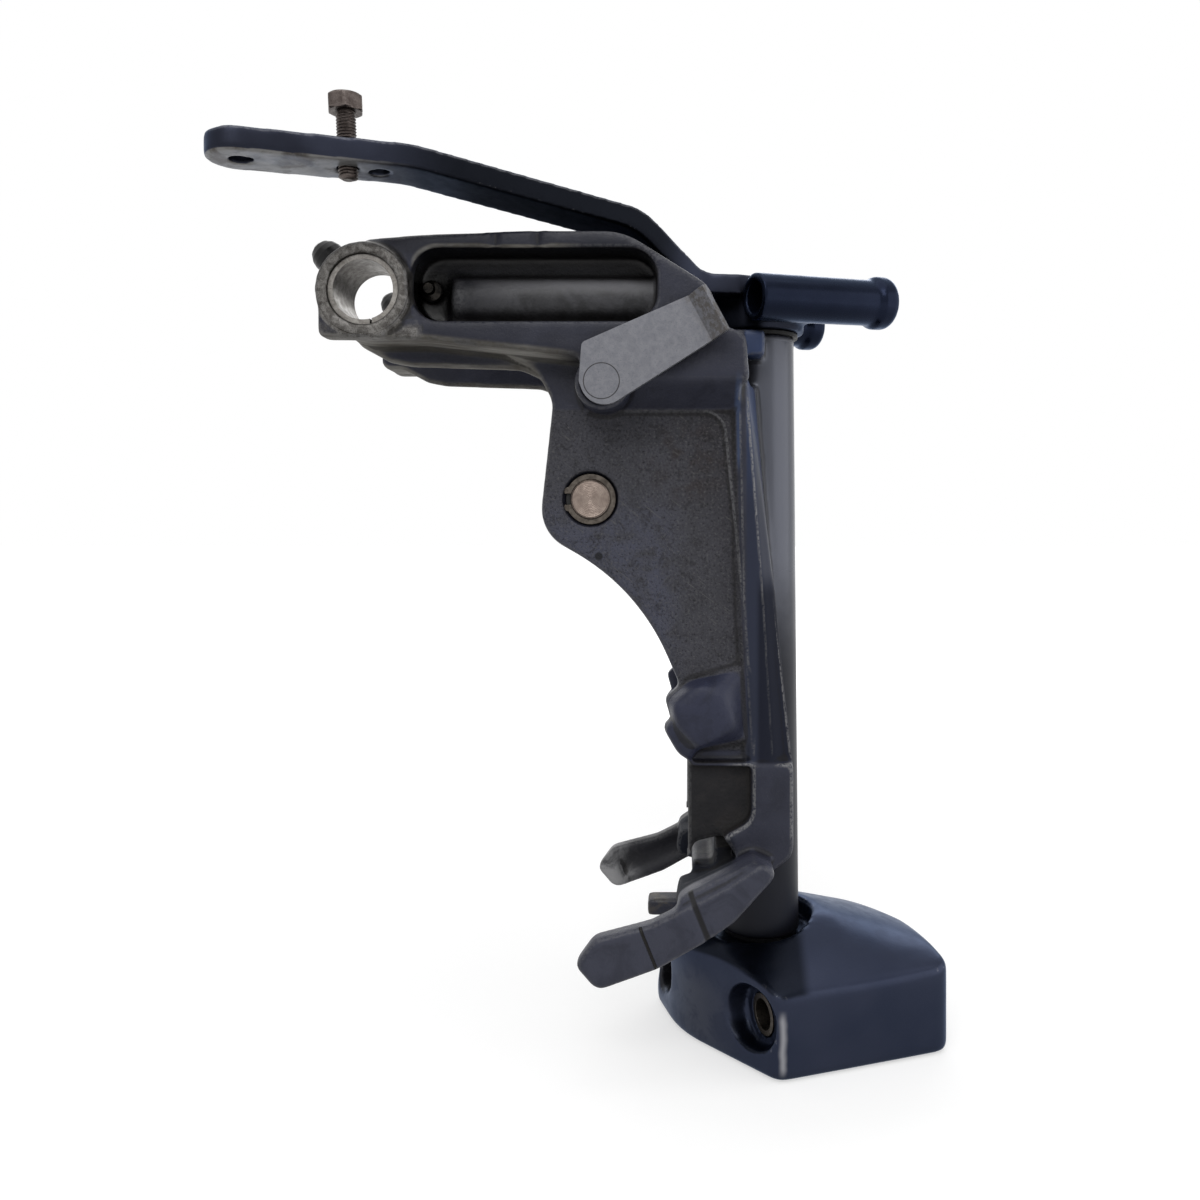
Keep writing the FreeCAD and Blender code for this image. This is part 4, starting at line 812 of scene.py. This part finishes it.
    def rim_highlight(self):
        """A painted highlight on the corner of the cheek's rim, broken like wear: up along the rib,
        round a bend and forward.
        """
        from_bend = self.plus(self.z, -RIM_BEND_Z)
        upper = self.inside(self.plus(self.x, self.times(from_bend, UPPER_LEAN)), *UPPER_CORNER)
        lower = self.inside(self.plus(self.x, self.times(from_bend, LOWER_LEAN)), *LOWER_CORNER)
        upright = self.most(self.times(upper, self.zone(**UPPER_RIM)),
                            self.times(lower, self.zone(**LOWER_RIM)))
        turn = self.times(self.inside(self.around(CHEEK_CORNER), *TURN_RADII),
                          self.past(**RIM_TURN))
        level = self.times(self.zone(**LEVEL_RIM), 0.5)
        return self.times(self.most(upright, turn, level), self.past(**RIM_INNER),
                          self.past(**RIM_OUTER), self.broken, 0.8)

    def crests(self):
        """Crests that are rubbed light, most of all on the ribs, and the painted highlight along the
        cheek's rim.
        """
        ribs = self.times(self.zone(**RIB), self.past(**RIB_CORNER))
        rubbed = self.times(self.step(self.given("worn"), 0.45, 0.95), self.broken,
                            self.less(self.step(self.around(BOSS), *BOSS_CLEAN)),
                            self.plus(0.3, self.times(ribs, 0.7)))
        return self.times(self.most(rubbed, self.rim_highlight()), self.less(self.tube))

    def colour(self, crest):
        """The paint under dirt with painted light from below, bare metal, rubbed crests with the
        painted rim highlight, painted shade in corners and grooves, and grease.
        """
        streaks = self.noise(0.05, 4, 0.7, vector=self.stretched(0.35, 1.6, 1))
        shade = self.most(self.times(self.step(self.given("hollow"), 0.15, 0.7), 0.65),
                          self.times(self.shelter(14), 0.75), self.scribed, self.groove)
        return self.layers(
            self.paint(),
            (self.dirty_and_underlit, self.mix(self.step(streaks, 0.35, 0.65), *DIRT_AND_UNDERLIGHT_TONES)),
            (self.bare_ear, self.ear_metal()),
            (self.bare_tip, self.mix(self.patches(0.35, 0.6), *TIP_TONES)),
            (crest, CREST_WEAR_AND_HIGHLIGHT),
            (shade, CORNER_PAINTED_SHADE),
            (self.times(self.grease, self.patches(0.25, 0.42)), GREASE))

    def roughness(self, crest):
        return self.levels(
            self.blend(self.step(self.haze, 0.35, 0.65), 0.34, 0.46),
            (self.cheek, self.blend(self.patches(0.4, 0.6), 0.5, 0.66)),
            (self.panel, 0.55),
            (self.facet, self.blend(self.deep_facet, 0.34, 0.8)),
            (self.tube, self.blend(self.tube_wear_and_sheen, 0.42, 0.26)),
            (self.hollow_root_shade, 0.75),
            (self.most(self.bare_ear, self.bare_tip), 0.42),
            (self.dirty_and_underlit, 0.7),
            (self.times(crest, 0.5), 0.4),
            (self.grease, 0.16))

    def metalness(self, crest):
        bare = self.most(self.times(self.bare_ear, 0.8), self.times(self.bare_tip, 0.85),
                         self.times(crest, 0.5))
        return self.blend(self.tube, bare, self.times(self.tube_wear_and_sheen, 0.3))

    def grain(self):
        """The cast skin: coarse on the cheeks, nearly smooth on the tube and the facet beside it."""
        depth = self.blend(self.most(self.cheek, self.times(self.panel, 0.6)), 0.4, 1.5)
        height = self.plus(self.times(self.coarse, depth), self.times(self.noise(0.12, 2, 0.5), 0.6),
                           self.times(self.scribed, -2))
        smooth = self.most(self.tube, self.facet)
        return self.times(height, self.less(self.times(smooth, 0.95)))


def casting_look():
    look = CastingLook()
    crest = look.crests()
    look.bumpy(look.grain(), 0.6)
    return look.finish(look.colour(crest), look.roughness(crest), look.metalness(crest))


# The looks of the steering parts


def gloss_look(name, dark, light, gloss, coat, film_and_underlight=None, edge_highlight=None, shadow=None):
    """Metallic navy paint, clear over fine flake.

    film_and_underlight and edge_highlight are functions of the look that return shares: a dusty film
    that also paints light from the floor below, and painted highlights on edges. shadow is such a
    function with the colour it goes to.
    """
    look = Look(name)
    worn = look.given("worn")
    blotch = look.noise(0.08, 5, 0.65, warp=0.5)
    colour = look.mix(look.step(look.noise(0.012, 3, 0.55), 0.35, 0.65), dark, light)
    flake = tuple(channel * 2.5 for channel in light)
    colour = look.mix(look.step(look.noise(5.0, 1, 0.5), 0.55, 0.8, 0, 0.15), colour, flake)
    metal = 0.8
    if shadow:
        where, tone = shadow
        colour = look.mix(where(look), colour, tone)
    if film_and_underlight:
        share = film_and_underlight(look)
        colour = look.mix(share, colour, look.mix(look.step(blotch, 0.38, 0.55), *DUST_AND_UNDERLIGHT_FILM))
        metal = look.blend(share, metal, 0.2)
    nick_and_highlight = look.times(look.step(worn, 0.7, 1.0), look.step(look.noise(0.35, 4, 0.7), 0.56, 0.7), 0.3)
    if edge_highlight:
        nick_and_highlight = look.most(nick_and_highlight, edge_highlight(look, worn))
    # Nicks with painted edge highlights, then painted shade in corners
    colour = look.layers(colour, (nick_and_highlight, NICK_AND_HIGHLIGHT), (look.times(look.shelter(9), 0.6), PAINT_CORNER_SHADE))
    dust = look.times(look.step(look.noise(0.04, 4, 0.65), 0.5, 0.75), 0.2)
    patchy = look.blend(look.step(look.noise(0.15), 0.4, 0.65), gloss, gloss + 0.08)
    look.bumpy(look.plus(look.times(look.noise(0.5, 3), 0.3), look.noise(0.06, 2, 0.5)), 0.12)
    return look.finish(colour, look.blend(dust, patchy, 0.5), metal, coat, gloss * 0.6, PAINT_GLANCE)


def arm_underside(look):
    """The arm's underside toward its tip, rubbed down to dusty metal and lightened as painted light
    from the floor below.
    """
    return look.times(look.past(**ARM_UNDERSIDE), look.step(look.x, *ARM_RUBBED, 0.0, 0.9),
                      look.step(look.noise(0.06), 0.3, 0.5, 0.6, 1.0))


def arm_edge_highlight(look, worn):
    """A painted highlight along the arm's upper edge."""
    return look.times(look.step(worn, 0.12, 0.45), look.past(**ARM_EDGE),
                      look.step(look.noise(0.5, 3), 0.2, 0.6), 0.2)


def arm_head_end(look):
    """Painted shade: the arm darkens from its knee toward the head."""
    return look.times(look.past(**ARM_KNEE), look.past(**ARM_HEAD), 0.9)


def yoke_corner_highlight(look, worn):
    """A painted highlight streak on the yoke's rounded upright corner, at its port front."""
    streak = look.plus(look.x, look.times(look.noise(0.08, 2, 0.5), 3))
    return look.times(look.inside(streak, *YOKE_CORNER), look.past(**YOKE_CORNER_EDGE),
                      look.zone(**YOKE_CORNER_HEIGHT), 0.85)


def yoke_front(look):
    """Beige film on the yoke's front, below the claws, lighter toward its foot as painted light from
    the floor.
    """
    return look.times(look.past(**YOKE_FRONT), 0.12)


def yoke_shadow(look):
    """Painted shadow and reflection of the swivel tube: the crown is darkest forward of its end."""
    return look.times(look.past(**YOKE_DARK), 0.85)


def head_paint():
    return gloss_look("head_gloss", (0.012, 0.013, 0.019), (0.026, 0.029, 0.044), gloss=0.36, coat=0.0,
                      film_and_underlight=arm_underside, edge_highlight=arm_edge_highlight, shadow=(arm_head_end, ARM_SHADOW))


def yoke_paint():
    return gloss_look("yoke_gloss", (0.015, 0.020, 0.038), (0.025, 0.030, 0.051), gloss=0.3, coat=0.06,
                      film_and_underlight=yoke_front, edge_highlight=yoke_corner_highlight, shadow=(yoke_shadow, PAINT_SHADOW))


def mount_paint():
    return gloss_look("mount_tube_gloss", (0.004, 0.006, 0.014), (0.008, 0.011, 0.023), gloss=0.26,
                      coat=0.03)


# The looks of bare metal and plastic


def metal_look(name, dark, light, rough, metal=1.0, grit=0.0, rings=None, joint=False):
    """Bare metal with mottled tone and painted shade in its corners.

    rings turns its face about an axis along Y. joint draws the stop shaft's end in its lever.
    """
    look = Look(name)
    tone = look.step(look.noise(0.3, 5, 0.7, warp=0.4), 0.3, 0.7)
    fine = look.noise(1.8, 4, 0.7)
    pitted = tuple(channel * 0.25 for channel in dark)
    colour = look.layers(look.mix(tone, dark, light),
                         (look.step(fine, 0.46, 0.33, 0, grit), pitted),
                         (look.times(look.shelter(4), 0.7), METAL_SHADE_AND_JOINT))
    if joint:
        hub = look.around(STOP_AXIS)
        patches = look.step(look.noise(0.3, 4, 0.7), 0.4, 0.6)
        tab = look.times(look.step(hub, *LEVER_TAB), patches, 0.7)
        gap = look.times(look.inside(hub, *SHAFT_GAP), 0.85)
        colour = look.layers(colour, (tab, TAB_GRIME), (gap, METAL_SHADE_AND_JOINT))
    height = fine
    if rings:
        waves = look.math("SINE", look.times(look.around(rings), 9.0))
        height = look.plus(height, look.times(waves, 0.6))
    look.bumpy(height, 0.05, round_edges=0.3)
    return look.finish(colour, look.blend(tone, rough + 0.14, rough), metal)


def plastic_look(name, dark, light, rough):
    look = Look(name)
    tone = look.step(look.noise(0.4), 0.35, 0.65)
    look.bumpy(look.noise(1.2, 3), 0.06, round_edges=0.3)
    return look.finish(look.mix(tone, dark, light), look.blend(tone, rough, rough + 0.15))


# The cast pieces

dress(cast_copy("swivel_bracket", "bracket", voxel=0.85, passes=36,
                calm=bracket_calm, budget=190000, form=short_toe), casting_look())
dress(cast_copy("steering_arm", "steering", voxel=0.8, passes=10,
                calm=steering_calm, budget=70000), head_paint())
dress(cast_copy("lower_yoke", "steering", voxel=1.0, passes=16,
                calm=steering_calm, budget=70000, form=flatter_crown), yoke_paint())
tube_paint = mount_paint()
for hand in ("port", "starboard"):
    dress(cast_copy("upper_mount_tube_" + hand, "steering", voxel=0.6, passes=10,
                    calm=tube_calm, budget=30000), tube_paint)

# The other pieces keep the CAD mesh and take the look of their slot

look_of = {
    "bare_steel": metal_look("turned_steel", (0.155, 0.122, 0.105), (0.24, 0.195, 0.168), 0.3,
                             rings=TILT_PIN),
    "lever_steel": metal_look("stainless_plate", (0.138, 0.141, 0.158), (0.172, 0.174, 0.191), 0.42,
                              metal=0.5, grit=0.35, joint=True),
    "dark_steel": metal_look("oily_steel", (0.05, 0.043, 0.037), (0.12, 0.105, 0.09), 0.34, grit=0.5),
    "bolt_steel": metal_look("tarnished_bolt", (0.055, 0.044, 0.040), (0.118, 0.10, 0.092), 0.38,
                             grit=0.5),
    "bush_metal": metal_look("bush_metal", (0.135, 0.125, 0.115), (0.24, 0.23, 0.215), 0.4, grit=0.5),
    "brass_fitting": metal_look("greasy_brass", (0.005, 0.005, 0.005), (0.02, 0.018, 0.016), 0.2,
                                grit=0.6),
    "bush_plastic": plastic_look("bush_plastic", (0.012, 0.012, 0.012), (0.03, 0.03, 0.03), 0.45),
    "seal_rubber": plastic_look("greasy_rubber", (0.004, 0.004, 0.004), (0.011, 0.011, 0.012), 0.28),
}
stand_ins = ("swivel_bracket", "steering_arm", "lower_yoke", "steering_bolt",
             "upper_mount_tube_port", "upper_mount_tube_starboard")
for row in frame["record"]["subparts"]:
    if row["node"] not in stand_ins:
        dress(frame["nodes"][row["node"]], look_of[row["material_slot"]])


# The steering bolt


def ring(shape, radii, height, turn=0.0):
    """A closed row of points at one height, one for each radius."""
    points = []
    for index, radius in enumerate(radii):
        angle = 2 * math.pi * index / len(radii) + turn
        points.append(shape.verts.new((radius * math.cos(angle), radius * math.sin(angle), height)))
    return points


def skin(shape, rings):
    """Walls from ring to ring, and a cap at both ends."""
    for below, above in zip(rings, rings[1:]):
        for index in range(len(below)):
            after = (index + 1) % len(below)
            shape.faces.new((below[index], below[after], above[after], above[index]))
    shape.faces.new(list(reversed(rings[0])))
    shape.faces.new(rings[-1])


def thread_radius(height, share):
    """The thread's radius at a height and a share of a turn, less at the bolt's rounded end."""
    phase = (height / BOLT_PITCH - share) % 1
    depth = THREAD_DEPTH * abs(2 * phase - 1)
    lead = min(1.0, 0.55 + (height - BOLT_END) / 1.6)
    return (BOLT_RADIUS - 0.05 - depth) * lead


def head_radius(share, limit):
    """The radius of the hexagon at a share of a turn, cut off by its chamfer."""
    to_flat = 2 * math.pi * share % (math.pi / 3) - math.pi / 6
    return min(HEAD_FLAT / math.cos(to_flat), HEAD_FLAT * limit)


def threaded_bolt():
    """The hex bolt in the steering arm, with its thread and a chamfered head."""
    shape = bmesh.new()
    rows = []
    for level in range(int((BOLT_LENGTH - 1.5) / BOLT_PITCH * 4) + 1):
        height = BOLT_END + level * BOLT_PITCH / 4
        radii = [thread_radius(height, index / THREAD_SIDES) for index in range(THREAD_SIDES)]
        rows.append(ring(shape, radii, height))
    rows.append(ring(shape, [BOLT_RADIUS * 0.95] * THREAD_SIDES, BOLT_TOP + 0.2))
    skin(shape, rows)
    head = []
    for rise, limit in HEAD_RINGS:
        radii = [head_radius(index / HEAD_SIDES, limit) for index in range(HEAD_SIDES)]
        head.append(ring(shape, radii, BOLT_TOP + rise, HEAD_TURN))
    skin(shape, head)
    mesh = bpy.data.meshes.new("threaded_bolt")
    bmesh.ops.scale(shape, vec=(0.001, 0.001, 0.001), verts=shape.verts)
    shape.to_mesh(mesh)
    shape.free()
    bolt = added("threaded_bolt", mesh)
    # The same lean as in part.py: about the arm's top face, then turned with the steering
    shift = -BOLT_X + ARM_TIP_TOP * math.tan(BOLT_LEAN)
    mesh.transform(Matrix.Translation((SWIVEL_X / 1000, 0, 0)) @ Matrix.Rotation(STEER_ANGLE, 4, "Z")
                   @ Matrix.Translation((shift / 1000, 0, 0)) @ Matrix.Rotation(-BOLT_LEAN, 4, "Y"))
    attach(bolt, "steering")
    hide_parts("steering_bolt")
    dress(bolt, look_of["bolt_steel"])


threaded_bolt()


# The studio


def seen_rays(tree):
    """1 for rays that show the background: to the camera, in a mirror and through glass."""
    rays = tree.nodes.new("ShaderNodeLightPath")
    seen = rays.outputs["Is Camera Ray"]
    for kind in ("Is Glossy Ray", "Is Transmission Ray"):
        either = tree.nodes.new("ShaderNodeMath")
        either.operation = "MAXIMUM"
        tree.links.new(seen, either.inputs[0])
        tree.links.new(rays.outputs[kind], either.inputs[1])
        seen = either.outputs[0]
    return seen


def floor_glow(tree):
    """A glow that grows away from the middle of the floor, for the rays that show the background."""
    away = tree.nodes.new("ShaderNodeVectorMath")
    away.operation = "LENGTH"
    tree.links.new(tree.nodes.new("ShaderNodeTexCoord").outputs["Object"], away.inputs[0])
    fade = tree.nodes.new("ShaderNodeMapRange")
    fade.interpolation_type = "SMOOTHSTEP"
    for name, number in (("From Min", FLOOR_FADE[0]), ("From Max", FLOOR_FADE[1]),
                         ("To Min", FLOOR_NEAR), ("To Max", FLOOR_FAR)):
        fade.inputs[name].default_value = number
    tree.links.new(away.outputs["Value"], fade.inputs["Value"])
    strength = tree.nodes.new("ShaderNodeMath")
    strength.operation = "MULTIPLY"
    tree.links.new(fade.outputs[0], strength.inputs[0])
    tree.links.new(seen_rays(tree), strength.inputs[1])
    glow = tree.nodes.new("ShaderNodeEmission")
    glow.inputs["Color"].default_value = WHITE
    tree.links.new(strength.outputs[0], glow.inputs["Strength"])
    return glow.outputs[0]


def floor_look():
    ground = bpy.data.materials.new("pale_floor")
    ground.use_nodes = True
    tree = ground.node_tree
    shader = tree.nodes["Principled BSDF"]
    shader.inputs["Base Color"].default_value = FLOOR_GREY
    shader.inputs["Roughness"].default_value = 0.9
    shader.inputs["Specular IOR Level"].default_value = 0.0
    both = tree.nodes.new("ShaderNodeAddShader")
    tree.links.new(shader.outputs[0], both.inputs[0])
    tree.links.new(floor_glow(tree), both.inputs[1])
    tree.links.new(both.outputs[0], tree.nodes["Material Output"].inputs[0])
    return ground


def stage_floor():
    """Pale ground that keeps a soft shadow near the object and turns white farther off."""
    mesh = bpy.data.meshes.new("floor")
    shape = bmesh.new()
    bmesh.ops.create_grid(shape, x_segments=1, y_segments=1, size=FLOOR_SIZE)
    shape.to_mesh(mesh)
    shape.free()
    floor = added("floor", mesh)
    floor.location = (cad_low.x / 2 + cad_high.x / 2, 0, cad_low.z - FLOOR_GAP)
    dress(floor, floor_look())


def room():
    """White where it is seen, dimmer as a source of light."""
    world = bpy.data.worlds.new("room")
    bpy.context.scene.world = world
    world.use_nodes = True
    tree = world.node_tree
    back = tree.nodes["Background"]
    level = tree.nodes.new("ShaderNodeMapRange")
    level.inputs["To Min"].default_value = ROOM_LIGHT
    level.inputs["To Max"].default_value = 1.0
    tree.links.new(seen_rays(tree), level.inputs["Value"])
    tree.links.new(level.outputs[0], back.inputs["Strength"])
    back.inputs["Color"].default_value = WHITE


def place_facing(thing, place, way):
    """Puts a lamp or the camera at a place, looking a way."""
    thing.location = place
    thing.rotation_mode = "QUATERNION"
    thing.rotation_quaternion = Vector(way).to_track_quat("-Z", "Y")


def lamp(name, place, target, size, power):
    data = bpy.data.lights.new(name, "AREA")
    data.shape = "RECTANGLE"
    data.size, data.size_y = size
    data.energy = power
    thing = added(name, data)
    thing.visible_camera = False
    place_facing(thing, place, Vector(target) - Vector(place))


def camera():
    """The photograph's own view: level, from port, with the picture shifted on the sensor."""
    data = bpy.data.cameras.new("camera")
    data.sensor_width = SENSOR_WIDTH
    data.lens = PHOTO_FOCAL / PHOTO_WIDTH * SENSOR_WIDTH
    data.shift_x = (PHOTO_WIDTH / 2 - PHOTO_CENTRE[0]) / PHOTO_WIDTH
    data.shift_y = (PHOTO_CENTRE[1] - PHOTO_WIDTH / 2) / PHOTO_WIDTH
    thing = added("camera", data)
    place_facing(thing, CAMERA_PLACE, (0, 1, 0))
    bpy.context.scene.camera = thing


stage_floor()
room()
lamp("overhead", (0.05, -0.25, 0.9), (0.12, 0, -0.1), size=(1.4, 1.0), power=5)
lamp("high_front", (-0.15, -1.5, 1.1), (0.12, 0, -0.1), size=(1.2, 0.8), power=14)
lamp("aft_side", (1.1, -0.3, 0.1), (0.17, 0, -0.12), size=(1.2, 0.9), power=4)
lamp("back_wall", (0.25, 1.5, 0.7), (0.17, 0, -0.12), size=(2.2, 0.8), power=11)
camera()
bpy.context.scene.view_settings.view_transform = "Standard"
